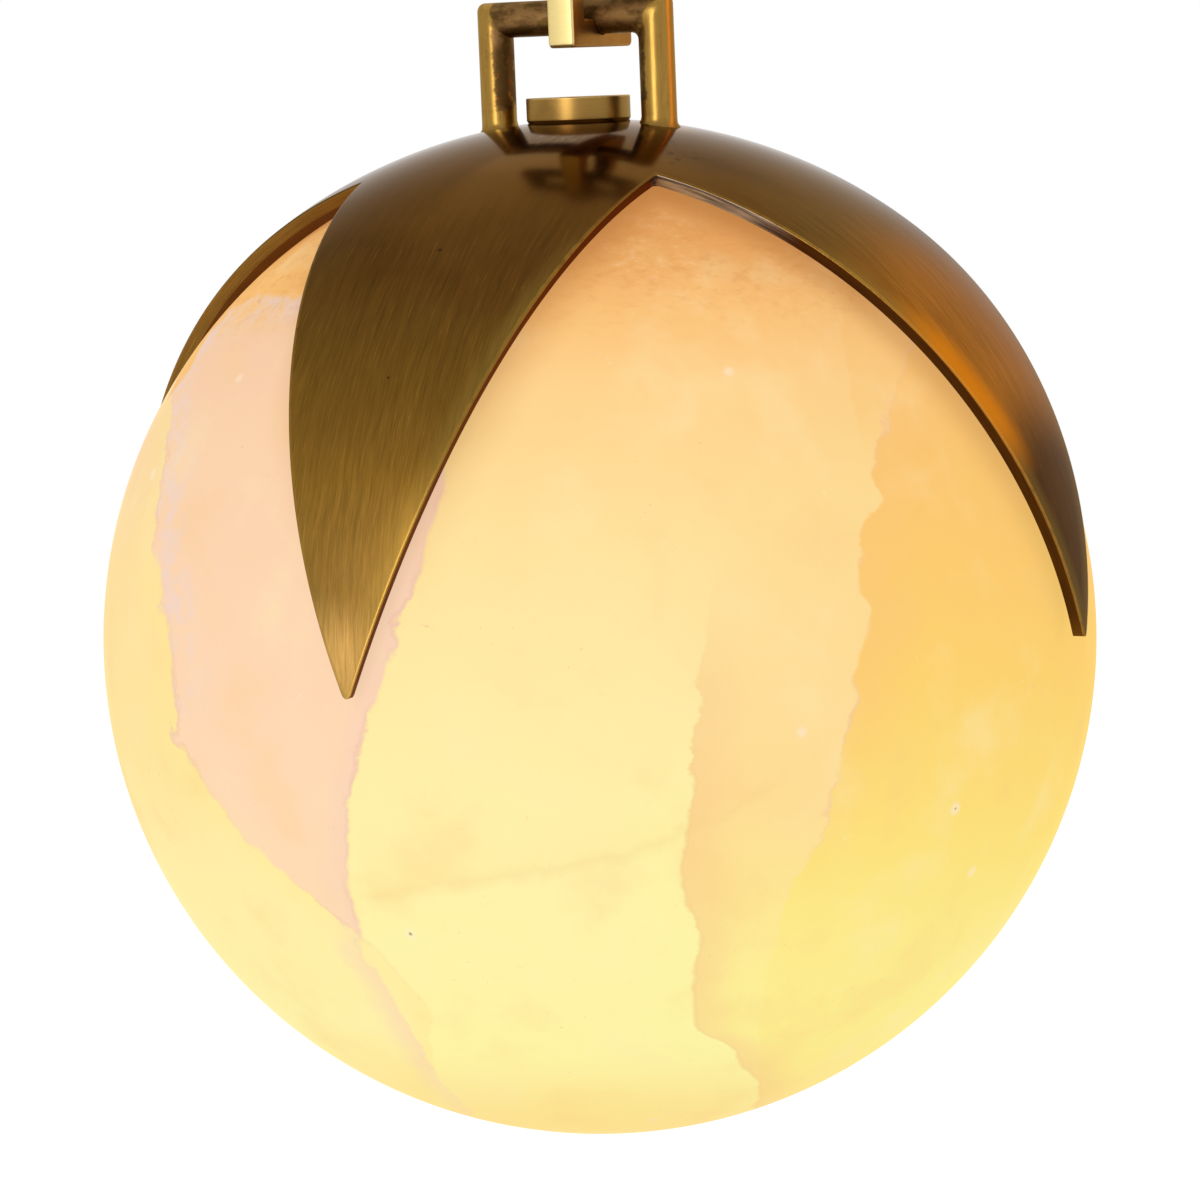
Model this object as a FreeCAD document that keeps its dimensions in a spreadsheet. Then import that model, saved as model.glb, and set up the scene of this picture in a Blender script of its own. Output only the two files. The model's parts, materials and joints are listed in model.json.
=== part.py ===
"""Alabaster globe pendant: a petalled brass cap and a lit alabaster globe, hung by a yoke, a link and a stem loop.

Every piece is drawn about the centre of the globe and then lowered, so that the origin of the finished part
lies in the top face of the stem boss, where the suspension rod screws in. +Z is up. Millimetres.
"""
import FreeCAD, Part
import math
import os
import re

import Sketcher

os.makedirs("parts", exist_ok=True)
doc = FreeCAD.newDocument("pendant")
sheet = doc.addObject("Spreadsheet::Sheet", "Sizes")

# ---------------------------------------------------------------- driving sizes
SIZES = [
    ("globe_radius", 150.0, "outside of the alabaster globe"),
    ("globe_wall", 10.0, "thickness of the alabaster"),
    ("opening_radius", 52.0, "hole in the top of the globe, which lets the lamp cluster in"),
    ("lip_width", 9.0, "flat ground round the opening"),
    ("cap_gap", 2.8, "air between globe and cap"),
    ("cap_plate", 3.8, "thickness of the brass cap"),
    ("petal_count", 4, "petals of the cap"),
    ("notch_angle", 26.0, "from the axis down to the root of the gap between two petals, degrees"),
    ("gap_tilt", 54.0, "slope of the line along which the two cuts of a gap meet, degrees"),
    ("edge_bow", 3.6, "bulge of a petal's edge over its chord"),
    ("tip_width", 2.2, "blunt end of a petal"),
    ("tip_height", 3.2, "petal tips above the middle of the globe"),
    ("edge_break", 0.5, "chamfer on the outer edges of the petals"),
    ("collar_radius", 15.6, "cable collar on top of the cap"),
    ("collar_rise", 7.5, "height of the collar"),
    ("inlet_radius", 5.5, "cable inlet in the collar"),
    ("inlet_depth", 5.0, "straight part of the cable inlet"),
    ("rod_radius", 5.35, "round rod of the yoke and of the stem loop"),
    ("yoke_span", 53.6, "between the axes of the yoke's legs"),
    ("yoke_rise", 30.4, "from the top of the cap to the axis of the yoke's bar"),
    ("link_bar", 8.4, "square bar of the link"),
    ("link_depth", 40.0, "outside of the link, front to back"),
    ("link_height", 60.0, "outside of the link, top to bottom"),
    ("link_edge", 0.7, "rounding of the link's edges"),
    ("link_place", 5.0, "from the axis of the pendant along the bars to the middle of the link"),
    ("saddle_web", 3.8, "brass left under the rod in the link's saddle"),
    ("swing_clearance", 0.05, "between a rod and its saddle"),
    ("loop_rise", 34.0, "between the axes of the stem loop's two bars"),
    ("boss_radius", 11.0, "stem boss on top of the loop"),
    ("boss_rise", 20.0, "from the axis of the loop's top bar to the top of the boss"),
    ("stem_thread_radius", 4.5, "core of the M10 fine thread for the suspension rod"),
    ("stem_thread_depth", 12.0, "depth of that thread"),
    ("nipple_radius", 5.0, "hollow threaded tube through the middle"),
    ("nipple_bore", 3.5, "radius of the tube's bore"),
    ("slip_clearance", 0.2, "round the tube in plates and washers"),
    ("nut_flats", 17.0, "across the flats of the tube's nuts"),
    ("nut_rise", 5.0, "thickness of a nut"),
    ("washer_radius", 11.0, "washers on the tube"),
    ("washer_plate", 1.5, "thickness of a washer"),
    ("gasket_plate", 1.5, "thickness of the rubber ring on the lip"),
    ("seat_inset", 3.5, "from the edge of the lip to the edge of the seat plate"),
    ("seat_plate", 2.0, "thickness of the steel plate that closes the opening"),
    ("seat_land", 1.0, "from the edge of the opening to the rubber ring"),
    ("strap_grip", 11.0, "length of strap that reaches past the opening at each end"),
    ("strap_width", 24.0, "width of the strap"),
    ("strap_plate", 5.0, "thickness of the strap"),
    ("pad_length", 9.0, "rubber pad on each end of the strap"),
    ("pad_rise", 1.0, "rubber left at the outer corners of a pad"),
    ("pad_clearance", 0.2, "between a pad and the alabaster"),
    ("lamp_plate_height", 22.0, "underside of the lamp plate above the middle of the globe"),
    ("lamp_plate_radius", 45.0, "round plate that carries the lampholders"),
    ("lamp_plate", 2.0, "thickness of the lamp plate"),
    ("lamp_count", 4, "lamps"),
    ("lamp_circle", 28.5, "from the axis to each lamp"),
    ("wire_hole", 3.0, "radius of the wire holes in the lamp plate"),
    ("holder_radius", 13.0, "small screw lampholder"),
    ("holder_length", 32.0, "length of a lampholder"),
    ("holder_bore", 7.3, "radius of the lampholder's thread"),
    ("holder_bore_depth", 24.0, "depth of the lampholder's thread"),
    ("base_radius", 7.0, "screw base of a bulb"),
    ("base_length", 26.0, "length of the screw base"),
    ("bulb_radius", 17.0, "widest part of a bulb"),
    ("bulb_neck", 6.6, "radius of a bulb's neck, outside"),
    ("bulb_flare", 22.0, "length over which the neck widens"),
    ("bulb_belly", 18.0, "length of the straight part of a bulb"),
    ("bulb_glass", 0.8, "thickness of the bulb's glass"),
    ("screw_radius", 2.0, "small screws"),
    ("screw_head_radius", 3.6, "heads of the small screws"),
    ("screw_head", 2.2, "height of those heads"),
    ("screw_length", 5.0, "thread of the small screws"),
    ("screw_offset", 10.0, "screws from the middle of a lampholder"),
    ("terminal_length", 20.0, "cable connector block"),
    ("terminal_width", 12.0, "width of the block"),
    ("terminal_rise", 12.0, "height of the block"),
    ("terminal_place", 24.0, "from the axis to the middle of the block"),
]
for row, (alias, number, meaning) in enumerate(SIZES, start=1):
    sheet.set("A%d" % row, alias)
    sheet.set("B%d" % row, str(number))
    sheet.set("C%d" % row, meaning)
    sheet.setAlias("B%d" % row, alias)
doc.recompute()
WORDS = re.compile(r"\b(" + "|".join(alias for alias, number, meaning in SIZES) + r")\b")


def formula(text):
    """The expression for a formula written with the sheet's aliases."""
    return WORDS.sub(r"Sizes.\1", text)


def value(text):
    """The number that a formula gives now."""
    result = sheet.evalExpression(formula(text))
    return float(getattr(result, "Value", result))


# ---------------------------------------------------------------- heights, all above the middle of the globe
CAP_INSIDE = "(globe_radius + cap_gap)"
CAP_OUTSIDE = "(globe_radius + cap_gap + cap_plate)"
GLOBE_INSIDE = "(globe_radius - globe_wall)"
LIP_RADIUS = "(opening_radius + lip_width)"
LIP = "sqrt(globe_radius ^ 2 - %s ^ 2)" % LIP_RADIUS
SEAT_UNDERSIDE = "(%s + gasket_plate)" % LIP
SEAT_TOP = "(%s + seat_plate)" % SEAT_UNDERSIDE
SEAT_RADIUS = "(%s - seat_inset)" % LIP_RADIUS
COLLAR_SEAT = "sqrt(%s ^ 2 - collar_radius ^ 2)" % CAP_OUTSIDE
COLLAR_TOP = "(%s + collar_rise)" % COLLAR_SEAT
CAP_NUT_SEAT = "sqrt(%s ^ 2 - (washer_radius + 1) ^ 2)" % CAP_INSIDE
SEAT_NUT_RISE = "min(nut_rise; (%s - washer_plate - %s) / 2)" % (CAP_NUT_SEAT, SEAT_TOP)
YOKE_BAR = "(%s + yoke_rise)" % CAP_OUTSIDE
LINK_FOOT = "(%s - rod_radius - saddle_web)" % YOKE_BAR
LINK_HEAD = "(%s + link_height)" % LINK_FOOT
LOOP_FOOT = "(%s - rod_radius - saddle_web)" % LINK_HEAD
LOOP_HEAD = "(%s + loop_rise)" % LOOP_FOOT
STEM_TOP = "(%s + boss_rise)" % LOOP_HEAD
NIPPLE_TOP = "(%s - inlet_depth)" % COLLAR_TOP
LAMP_PLATE_TOP = "(lamp_plate_height + lamp_plate)"
NIPPLE_FOOT = "(lamp_plate_height - nut_rise - 1)"
STRAP_END = "(opening_radius + strap_grip)"
PAD_PLACE = "(%s - pad_length)" % STRAP_END
STRAP_TOP = "(sqrt(%s ^ 2 - %s ^ 2 - (strap_width / 2) ^ 2) - pad_rise)" % (GLOBE_INSIDE, STRAP_END)
HOLDER_FOOT = "(lamp_plate_height - holder_length)"
BASE_TOP = "(%s + holder_bore_depth)" % HOLDER_FOOT
BULB_NECK = "(%s - base_length)" % BASE_TOP
NUT_CORNER = "(nut_flats / sqrt(3))"
TUBE_HOLE = "(nipple_radius + slip_clearance)"

# ---------------------------------------------------------------- how bodies, sketches and features are made
PIECES = []


def new_body(label, east="0", north="0"):
    """An empty body, lowered so that the top of the stem boss is at the origin."""
    body = doc.addObject("PartDesign::Body", label)
    body.Label = label
    body.setExpression("Placement.Base.x", formula(east))
    body.setExpression("Placement.Base.y", formula(north))
    body.setExpression("Placement.Base.z", formula("-" + STEM_TOP))
    PIECES.append(body)
    return body


def new_sketch(body, plane, height="0"):
    """An empty sketch on one of the body's own origin planes, raised along the plane's normal."""
    sketch = body.newObject("Sketcher::SketchObject", body.Label + "_sketch")
    base = [item for item in body.Origin.OriginFeatures if item.Role == plane][0]
    sketch.AttachmentSupport = [(base, "")]
    sketch.MapMode = "FlatFace"
    if height != "0":
        sketch.setExpression("AttachmentOffset.Base.z", formula(height))
    return sketch


def bind(sketch, kind, targets, text):
    """A dimension of a sketch, tied to a formula."""
    index = sketch.addConstraint(Sketcher.Constraint(kind, *targets, value(text)))
    sketch.setExpression("Constraints[%d]" % index, formula(text))


def hold(sketch, edge, end, across, up, which="xy"):
    """Ties one end of an edge to its place in the sketch."""
    if "x" in which:
        if across == "0":
            sketch.addConstraint(Sketcher.Constraint("PointOnObject", edge, end, -2))
        else:
            bind(sketch, "DistanceX", (-1, 1, edge, end), across)
    if "y" in which:
        if up == "0":
            sketch.addConstraint(Sketcher.Constraint("PointOnObject", edge, end, -1))
        else:
            bind(sketch, "DistanceY", (-1, 1, edge, end), up)


def outline(sketch, corners):
    """A closed outline of lines and arcs.

    A corner is (across, up), which a line leaves, or (across, up, which, radius, turn), which an arc about the
    sketch's origin leaves: which says the coordinates that are tied, and turn is 1 anticlockwise, -1 clockwise.
    """
    places = [FreeCAD.Vector(value(corner[0]), value(corner[1]), 0) for corner in corners]
    first = sketch.GeometryCount
    joints = []
    for number, corner in enumerate(corners):
        start = places[number]
        finish = places[(number + 1) % len(corners)]
        if len(corner) < 4 or corner[3] is None:
            sketch.addGeometry(Part.LineSegment(start, finish), False)
            joints.append((1, 2))
            continue
        circle = Part.Circle(FreeCAD.Vector(0, 0, 0), FreeCAD.Vector(0, 0, 1), value(corner[3]))
        angles = [math.atan2(start.y, start.x), math.atan2(finish.y, finish.x)]
        if corner[4] < 0:
            angles.reverse()
        if angles[1] <= angles[0]:
            angles[1] += 2 * math.pi
        sketch.addGeometry(Part.ArcOfCircle(circle, angles[0], angles[1]), False)
        joints.append((1, 2) if corner[4] > 0 else (2, 1))
        edge = first + number
        sketch.addConstraint(Sketcher.Constraint("Coincident", edge, 3, -1, 1))
        bind(sketch, "Radius", (edge,), corner[3])
    for number, corner in enumerate(corners):
        following = (number + 1) % len(corners)
        ends = (first + number, joints[number][1], first + following, joints[following][0])
        sketch.addConstraint(Sketcher.Constraint("Coincident", *ends))
    for number, corner in enumerate(corners):
        which = corner[2] if len(corner) > 2 else "xy"
        hold(sketch, first + number, joints[number][0], corner[0], corner[1], which)


def circle(sketch, radius, across="0", up="0"):
    """A circle in a sketch."""
    centre = FreeCAD.Vector(value(across), value(up), 0)
    edge = sketch.addGeometry(Part.Circle(centre, FreeCAD.Vector(0, 0, 1), value(radius)), False)
    bind(sketch, "Radius", (edge,), radius)
    hold(sketch, edge, 3, across, up)


def turn(body, corners):
    """Turns a half outline, drawn as (radius, height), about the vertical axis."""
    sketch = new_sketch(body, "XZ_Plane")
    outline(sketch, corners)
    solid = body.newObject("PartDesign::Revolution", body.Label + "_turned")
    solid.Profile = sketch
    solid.ReferenceAxis = (sketch, ["V_Axis"])
    solid.Angle = 360
    return solid


def pad(body, sketch, length, both_ways=False):
    """Pads a sketch along its normal."""
    solid = body.newObject("PartDesign::Pad", body.Label + "_pad")
    solid.Profile = sketch
    solid.setExpression("Length", formula(length))
    solid.Midplane = both_ways
    return solid


def pocket_through(body, sketch):
    """Cuts a sketch right through the body, both ways."""
    cut = body.newObject("PartDesign::Pocket", body.Label + "_cut")
    cut.Profile = sketch
    cut.Type = 1
    cut.Midplane = True
    return cut


def polar(body, feature, count):
    """Repeats a feature evenly about the vertical axis."""
    pattern = body.newObject("PartDesign::PolarPattern", body.Label + "_pattern")
    pattern.Originals = [feature]
    axis = [item for item in body.Origin.OriginFeatures if item.Role == "Z_Axis"][0]
    pattern.Axis = (axis, [""])
    pattern.Angle = 360
    pattern.setExpression("Occurrences", formula(count))
    body.Tip = pattern
    return pattern


def ring(label, inner, outer, foot, rise):
    """A flat ring or short tube about the vertical axis."""
    body = new_body(label)
    head = "(%s + %s)" % (foot, rise)
    turn(body, [(inner, foot), (outer, foot), (outer, head), (inner, head)])
    return body


def hexagon(sketch):
    """The outline of a nut."""
    outline(sketch, [
        ("%s * cos(%d)" % (NUT_CORNER, angle), "%s * sin(%d)" % (NUT_CORNER, angle) if angle % 180 else "0")
        for angle in range(0, 360, 60)
    ])


def nut(label, foot, rise="nut_rise"):
    """A thin hexagon nut on the threaded tube."""
    body = new_body(label)
    sketch = new_sketch(body, "XY_Plane", foot)
    hexagon(sketch)
    circle(sketch, "nipple_radius")
    pad(body, sketch, rise)
    return body


# ---------------------------------------------------------------- the globe and the cap
def make_globe():
    """A hollow ball, ground flat round the opening in its top."""
    body = new_body("globe")
    inside_at_opening = "sqrt(%s ^ 2 - opening_radius ^ 2)" % GLOBE_INSIDE
    turn(body, [
        ("0", "-globe_radius", "x", "globe_radius", 1),
        (LIP_RADIUS, LIP, "x"),
        ("opening_radius", LIP),
        ("opening_radius", inside_at_opening, "x", GLOBE_INSIDE, -1),
        ("0", "-" + GLOBE_INSIDE, "x"),
    ])


def make_cap():
    """A brass dome with pointed petals, whose tips reach down to the middle of the globe."""
    body = new_body("petal_cap")
    rim_outside = "sqrt(%s ^ 2 - tip_height ^ 2)" % CAP_OUTSIDE
    rim_inside = "sqrt(%s ^ 2 - tip_height ^ 2)" % CAP_INSIDE
    turn(body, [
        (TUBE_HOLE, CAP_NUT_SEAT),
        ("(washer_radius + 1)", CAP_NUT_SEAT, "x", CAP_INSIDE, -1),
        (rim_inside, "tip_height", "y"),
        (rim_outside, "tip_height", "", CAP_OUTSIDE, 1),
        ("collar_radius", COLLAR_SEAT, "x"),
        (TUBE_HOLE, COLLAR_SEAT, "x"),
    ])
    # The gap between two petals is a curved V, cut along a sloping line through the root of the gap.
    sketch = new_sketch(body, "XY_Plane")
    tilted = "placement(vector(0; 0; 0); rotation(90 + 180 / petal_count; 0; 90 - gap_tilt))"
    sketch.setExpression("AttachmentOffset", formula(tilted))
    half = "(180 / petal_count)"
    reach = "sqrt(%s ^ 2 - tip_height ^ 2)" % CAP_OUTSIDE
    root = "%s * cos(notch_angle + gap_tilt)" % CAP_OUTSIDE
    side = "(%s * sin(%s) - tip_width / 2 * cos(%s))" % (reach, half, half)
    outward = "(%s * cos(%s) + tip_width / 2 * sin(%s))" % (reach, half, half)
    low = "(tip_height * cos(gap_tilt) - %s * sin(gap_tilt))" % outward
    chord = "sqrt(%s ^ 2 + (%s - %s) ^ 2)" % (side, root, low)
    bend = "((%s ^ 2 / 4 + edge_bow ^ 2) / (2 * edge_bow))" % chord
    beyond = "(-1 * %s)" % CAP_OUTSIDE
    petal_edges(sketch, root, side, low, bend, beyond)
    gaps = polar(body, pocket_through(body, sketch), "petal_count")
    doc.recompute()
    broken = body.newObject("PartDesign::Chamfer", "petal_edges")
    broken.Base = (gaps, [name for name, edge in named_edges(gaps) if is_petal_edge(edge)])
    broken.setExpression("Size", formula("edge_break"))


def named_edges(feature):
    """The edges of a feature with their names."""
    return [("Edge%d" % number, edge) for number, edge in enumerate(feature.Shape.Edges, start=1)]


def is_petal_edge(edge):
    """Whether an edge of the cap is where a gap meets the outside of the dome."""
    middle = edge.valueAt((edge.FirstParameter + edge.LastParameter) / 2)
    on_dome = abs(middle.Length - value(CAP_OUTSIDE)) < 0.01
    return on_dome and edge.BoundBox.ZLength > value("globe_radius") / 2


def petal_edges(sketch, root, side, low, bend, beyond):
    """The curved V of a gap: two arcs from the root to the petal tips, closed below the tips."""
    apex = FreeCAD.Vector(0, value(root), 0)
    tips = []
    for sign in (-1, 1):
        tip = FreeCAD.Vector(sign * value(side), value(low), 0)
        chord = tip - apex
        across = FreeCAD.Vector(-sign * chord.y, sign * chord.x, 0).normalize()
        arc = sketch.addGeometry(Part.Arc(apex, apex + chord * 0.5 + across * value("edge_bow"), tip), False)
        top, foot = (1, 2) if sketch.getPoint(arc, 1).isEqual(apex, 1e-6) else (2, 1)
        hold(sketch, arc, top, "0", root)
        hold(sketch, arc, foot, "%d * %s" % (sign, side), low)
        bind(sketch, "Radius", (arc,), bend)
        tips.append((arc, foot, tip))
    corners = [FreeCAD.Vector(tip.x, value(beyond), 0) for arc, foot, tip in tips]
    floor = sketch.addGeometry(Part.LineSegment(corners[0], corners[1]), False)
    for end, (arc, foot, tip) in enumerate(tips, start=1):
        drop = sketch.addGeometry(Part.LineSegment(tip, corners[end - 1]), False)
        sketch.addConstraint(Sketcher.Constraint("Coincident", drop, 1, arc, foot))
        sketch.addConstraint(Sketcher.Constraint("Coincident", drop, 2, floor, end))
        sketch.addConstraint(Sketcher.Constraint("Vertical", drop))
    sketch.addConstraint(Sketcher.Constraint("Horizontal", floor))
    bind(sketch, "DistanceY", (-1, 1, floor, 1), beyond)


# ---------------------------------------------------------------- collar, yoke, link and stem loop
def make_collar():
    """The turned collar on the cap, threaded on the tube, with the cable inlet in its top."""
    body = new_body("cable_collar")
    turn(body, [
        ("nipple_radius", COLLAR_SEAT),
        ("collar_radius", COLLAR_SEAT),
        ("collar_radius", COLLAR_TOP),
        ("inlet_radius", COLLAR_TOP),
        ("inlet_radius", NIPPLE_TOP),
        ("nipple_radius", NIPPLE_TOP),
    ])


def rod_along(body, places, closed=False):
    """A round rod with mitred corners along straight runs, given as (across, up) in the XZ plane."""
    path = new_sketch(body, "XZ_Plane")
    points = [FreeCAD.Vector(value(across), value(up), 0) for across, up in places]
    runs = len(places) if closed else len(places) - 1
    for number in range(runs):
        following = (number + 1) % len(places)
        path.addGeometry(Part.LineSegment(points[number], points[following]), False)
    for number in range(1, runs):
        path.addConstraint(Sketcher.Constraint("Coincident", number - 1, 2, number, 1))
    for number in range(runs):
        hold(path, number, 1, *places[number])
    if closed:
        path.addConstraint(Sketcher.Constraint("Coincident", runs - 1, 2, 0, 1))
    else:
        hold(path, runs - 1, 2, *places[-1])
    section = new_sketch(body, "XY_Plane", places[0][1])
    circle(section, "rod_radius", places[0][0], "0")
    rod = body.newObject("PartDesign::AdditivePipe", body.Label + "_rod")
    rod.Profile = section
    rod.Spine = (path, ["Edge%d" % number for number in range(1, runs + 1)])
    rod.Transition = "Right corner"
    return rod


def make_yoke():
    """The bail on top of the cap: a square arch of round rod, brazed to the dome."""
    body = new_body("yoke")
    leg = "yoke_span / 2"
    inside_dome = "(sqrt(%s ^ 2 - (%s + rod_radius) ^ 2) - 2)" % (CAP_OUTSIDE, leg)
    rod_along(body, [("-" + leg, inside_dome), ("-" + leg, YOKE_BAR), (leg, YOKE_BAR), (leg, inside_dome)])
    dome = body.newObject("PartDesign::SubtractiveSphere", "yoke_foot")
    dome.setExpression("Radius", formula(CAP_OUTSIDE))


def make_link():
    """A closed oblong link of square bar, with a saddle for a round rod in its foot and in its head."""
    body = new_body("link", "link_place")
    sketch = new_sketch(body, "YZ_Plane")
    for across, foot, head in (
        ("link_depth / 2", LINK_FOOT, LINK_HEAD),
        ("(link_depth / 2 - link_bar)", "(%s + link_bar)" % LINK_FOOT, "(%s - link_bar)" % LINK_HEAD),
    ):
        outline(sketch, [("-" + across, foot), (across, foot), (across, head), ("-" + across, head)])
    frame = pad(body, sketch, "link_bar", both_ways=True)
    doc.recompute()
    flanks = ["Edge%d" % number for number, edge in enumerate(frame.Shape.Edges, start=1)
              if edge.BoundBox.XLength < 0.001]
    rounded = body.newObject("PartDesign::Fillet", "link_edges")
    rounded.Base = (frame, flanks)
    rounded.setExpression("Radius", formula("link_edge"))
    saddles = new_sketch(body, "YZ_Plane")
    circle(saddles, "(rod_radius + swing_clearance)", "0", YOKE_BAR)
    circle(saddles, "(rod_radius + swing_clearance)", "0", LOOP_FOOT)
    pocket_through(body, saddles)


def make_stem_loop():
    """The closed loop of round rod that the link hangs in."""
    body = new_body("stem_loop")
    leg = "yoke_span / 2"
    middle = "((%s + %s) / 2)" % (LOOP_FOOT, LOOP_HEAD)
    places = [("-" + leg, middle), ("-" + leg, LOOP_FOOT), (leg, LOOP_FOOT), (leg, LOOP_HEAD), ("-" + leg, LOOP_HEAD)]
    rod_along(body, places, closed=True)


def make_stem_boss():
    """The boss on top of the loop, coped over its bar, with the thread for the suspension rod."""
    body = new_body("stem_boss")
    thread_foot = "(%s - stem_thread_depth)" % STEM_TOP
    turn(body, [
        ("0", LOOP_HEAD),
        ("boss_radius", LOOP_HEAD),
        ("boss_radius", STEM_TOP),
        ("stem_thread_radius", STEM_TOP),
        ("stem_thread_radius", thread_foot),
        ("0", thread_foot),
    ])
    cope = new_sketch(body, "YZ_Plane")
    circle(cope, "rod_radius", "0", LOOP_HEAD)
    pocket_through(body, cope)


# ---------------------------------------------------------------- what holds the globe up
def make_tube():
    """The hollow threaded tube that ties cap, globe and lamp plate together."""
    ring("threaded_tube", "nipple_bore", "nipple_radius", NIPPLE_FOOT, "(%s - %s)" % (NIPPLE_TOP, NIPPLE_FOOT))


def make_fixings():
    """Nuts and washers on the tube, from the top down."""
    ring("cap_washer", TUBE_HOLE, "washer_radius", "(%s - washer_plate)" % CAP_NUT_SEAT, "washer_plate")
    nut("cap_nut", "(%s - washer_plate - %s)" % (CAP_NUT_SEAT, SEAT_NUT_RISE), SEAT_NUT_RISE)
    nut("seat_nut", SEAT_TOP, SEAT_NUT_RISE)
    ring("strap_washer", TUBE_HOLE, "washer_radius", "(%s - strap_plate - washer_plate)" % STRAP_TOP, "washer_plate")
    nut("strap_nut", "(%s - strap_plate - washer_plate - nut_rise)" % STRAP_TOP)
    nut("lamp_nut_upper", LAMP_PLATE_TOP)
    nut("lamp_nut_lower", "(lamp_plate_height - nut_rise)")


def make_seat():
    """The steel plate that closes the globe and the rubber ring under it."""
    ring("seat_plate", TUBE_HOLE, SEAT_RADIUS, SEAT_UNDERSIDE, "seat_plate")
    ring("lip_gasket", "(opening_radius + seat_land)", SEAT_RADIUS, LIP, "gasket_plate")


def make_strap():
    """The steel strap that bears up against the alabaster from inside."""
    body = new_body("lifting_strap")
    sketch = new_sketch(body, "XY_Plane", "(%s - strap_plate)" % STRAP_TOP)
    long, wide = STRAP_END, "strap_width / 2"
    outline(sketch, [("-" + long, "-" + wide), (long, "-" + wide), (long, wide), ("-" + long, wide)])
    circle(sketch, TUBE_HOLE)
    pad(body, sketch, "strap_plate")


def make_pad(label, sign):
    """A rubber pad on one end of the strap, shaped to the inside of the globe."""
    body = new_body(label)
    sketch = new_sketch(body, "XY_Plane", STRAP_TOP)
    near, far = "%d * %s" % (sign, PAD_PLACE), "%d * %s" % (sign, STRAP_END)
    wide = "strap_width / 2"
    outline(sketch, [(near, "-" + wide), (far, "-" + wide), (far, wide), (near, wide)])
    pad(body, sketch, "globe_wall")
    hollow = doc.addObject("Part::Sphere", label + "_hollow")
    hollow.setExpression("Radius", formula("%s - pad_clearance" % GLOBE_INSIDE))
    hollow.setExpression("Placement.Base.z", formula("-" + STEM_TOP))
    shaped = doc.addObject("Part::Common", label + "_shaped")
    shaped.Base = body
    shaped.Tool = hollow
    PIECES.remove(body)
    body.Label = label + "_block"
    shaped.Label = label
    PIECES.append(shaped)


# ---------------------------------------------------------------- the lamp cluster
def lamp_place(number):
    """East and north of a lamp: the lamps stand between the petals."""
    angle = "(360 * %d / lamp_count + 45)" % number
    return "lamp_circle * cos%s" % angle, "lamp_circle * sin%s" % angle


def make_lamp_plate():
    """The round plate that carries the lampholders."""
    body = new_body("lamp_plate")
    sketch = new_sketch(body, "XY_Plane", "lamp_plate_height")
    circle(sketch, "lamp_plate_radius")
    circle(sketch, TUBE_HOLE)
    for number in range(int(value("lamp_count"))):
        east, north = lamp_place(number)
        circle(sketch, "wire_hole", east, north)
        for side in (-1, 1):
            circle(sketch, "screw_radius", "%s + %d * screw_offset" % (east, side), north)
    circle(sketch, "screw_radius", "0", "terminal_place")
    pad(body, sketch, "lamp_plate")


def make_lamp(number):
    """A lampholder, and the bulb's screw base and glass."""
    east, north = lamp_place(number)
    holder = new_body("lampholder_%d" % (number + 1), east, north)
    turn(holder, [
        ("wire_hole", "lamp_plate_height"),
        ("wire_hole", BASE_TOP),
        ("holder_bore", BASE_TOP),
        ("holder_bore", HOLDER_FOOT),
        ("holder_radius", HOLDER_FOOT),
        ("holder_radius", "lamp_plate_height"),
    ])
    sketch = new_sketch(holder, "XY_Plane", "lamp_plate_height")
    for side in (-1, 1):
        circle(sketch, "screw_radius", "%d * screw_offset" % side, "0")
    threads = holder.newObject("PartDesign::Pocket", holder.Label + "_threads")
    threads.Profile = sketch
    threads.setExpression("Length", formula("screw_length"))
    base = new_body("bulb_base_%d" % (number + 1), east, north)
    turn(base, [("0", BASE_TOP), ("base_radius", BASE_TOP), ("base_radius", BULB_NECK), ("0", BULB_NECK)])
    glass = new_body("bulb_glass_%d" % (number + 1), east, north)
    shoulder = "(%s - bulb_flare)" % BULB_NECK
    waist = "(%s - bulb_belly)" % shoulder
    crown = "(%s - bulb_radius)" % waist
    inner = "(bulb_radius - bulb_glass)"
    turn(glass, [
        ("bulb_neck - bulb_glass", BULB_NECK),
        ("bulb_neck", BULB_NECK),
        ("bulb_radius", shoulder),
        ("bulb_radius", waist),
        ("bulb_radius * 0.8", "%s + bulb_radius * 0.4" % crown),
        ("bulb_radius * 0.45", "%s + bulb_radius * 0.1" % crown),
        ("0", crown),
        ("0", "%s + bulb_glass" % crown),
        (inner + " * 0.45", "%s + bulb_glass + %s * 0.1" % (crown, inner)),
        (inner + " * 0.8", "%s + bulb_glass + %s * 0.4" % (crown, inner)),
        (inner, waist),
        (inner, shoulder),
    ])


def screw_at(place, foot, name):
    """A small cheese-head screw whose head rests on the lamp plate."""
    shank = doc.addObject("Part::Cylinder", name + "_shank")
    shank.setExpression("Radius", formula("screw_radius"))
    shank.setExpression("Height", formula("screw_length + lamp_plate"))
    head = doc.addObject("Part::Cylinder", name + "_head")
    head.setExpression("Radius", formula("screw_head_radius"))
    head.setExpression("Height", formula("screw_head"))
    for item, height in ((shank, "%s - screw_length - lamp_plate" % foot), (head, foot)):
        item.setExpression("Placement.Base.x", formula(place[0]))
        item.setExpression("Placement.Base.y", formula(place[1]))
        item.setExpression("Placement.Base.z", formula("%s - %s" % (height, STEM_TOP)))
    screw = doc.addObject("Part::Fuse", name)
    screw.Base = shank
    screw.Tool = head
    return screw


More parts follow.
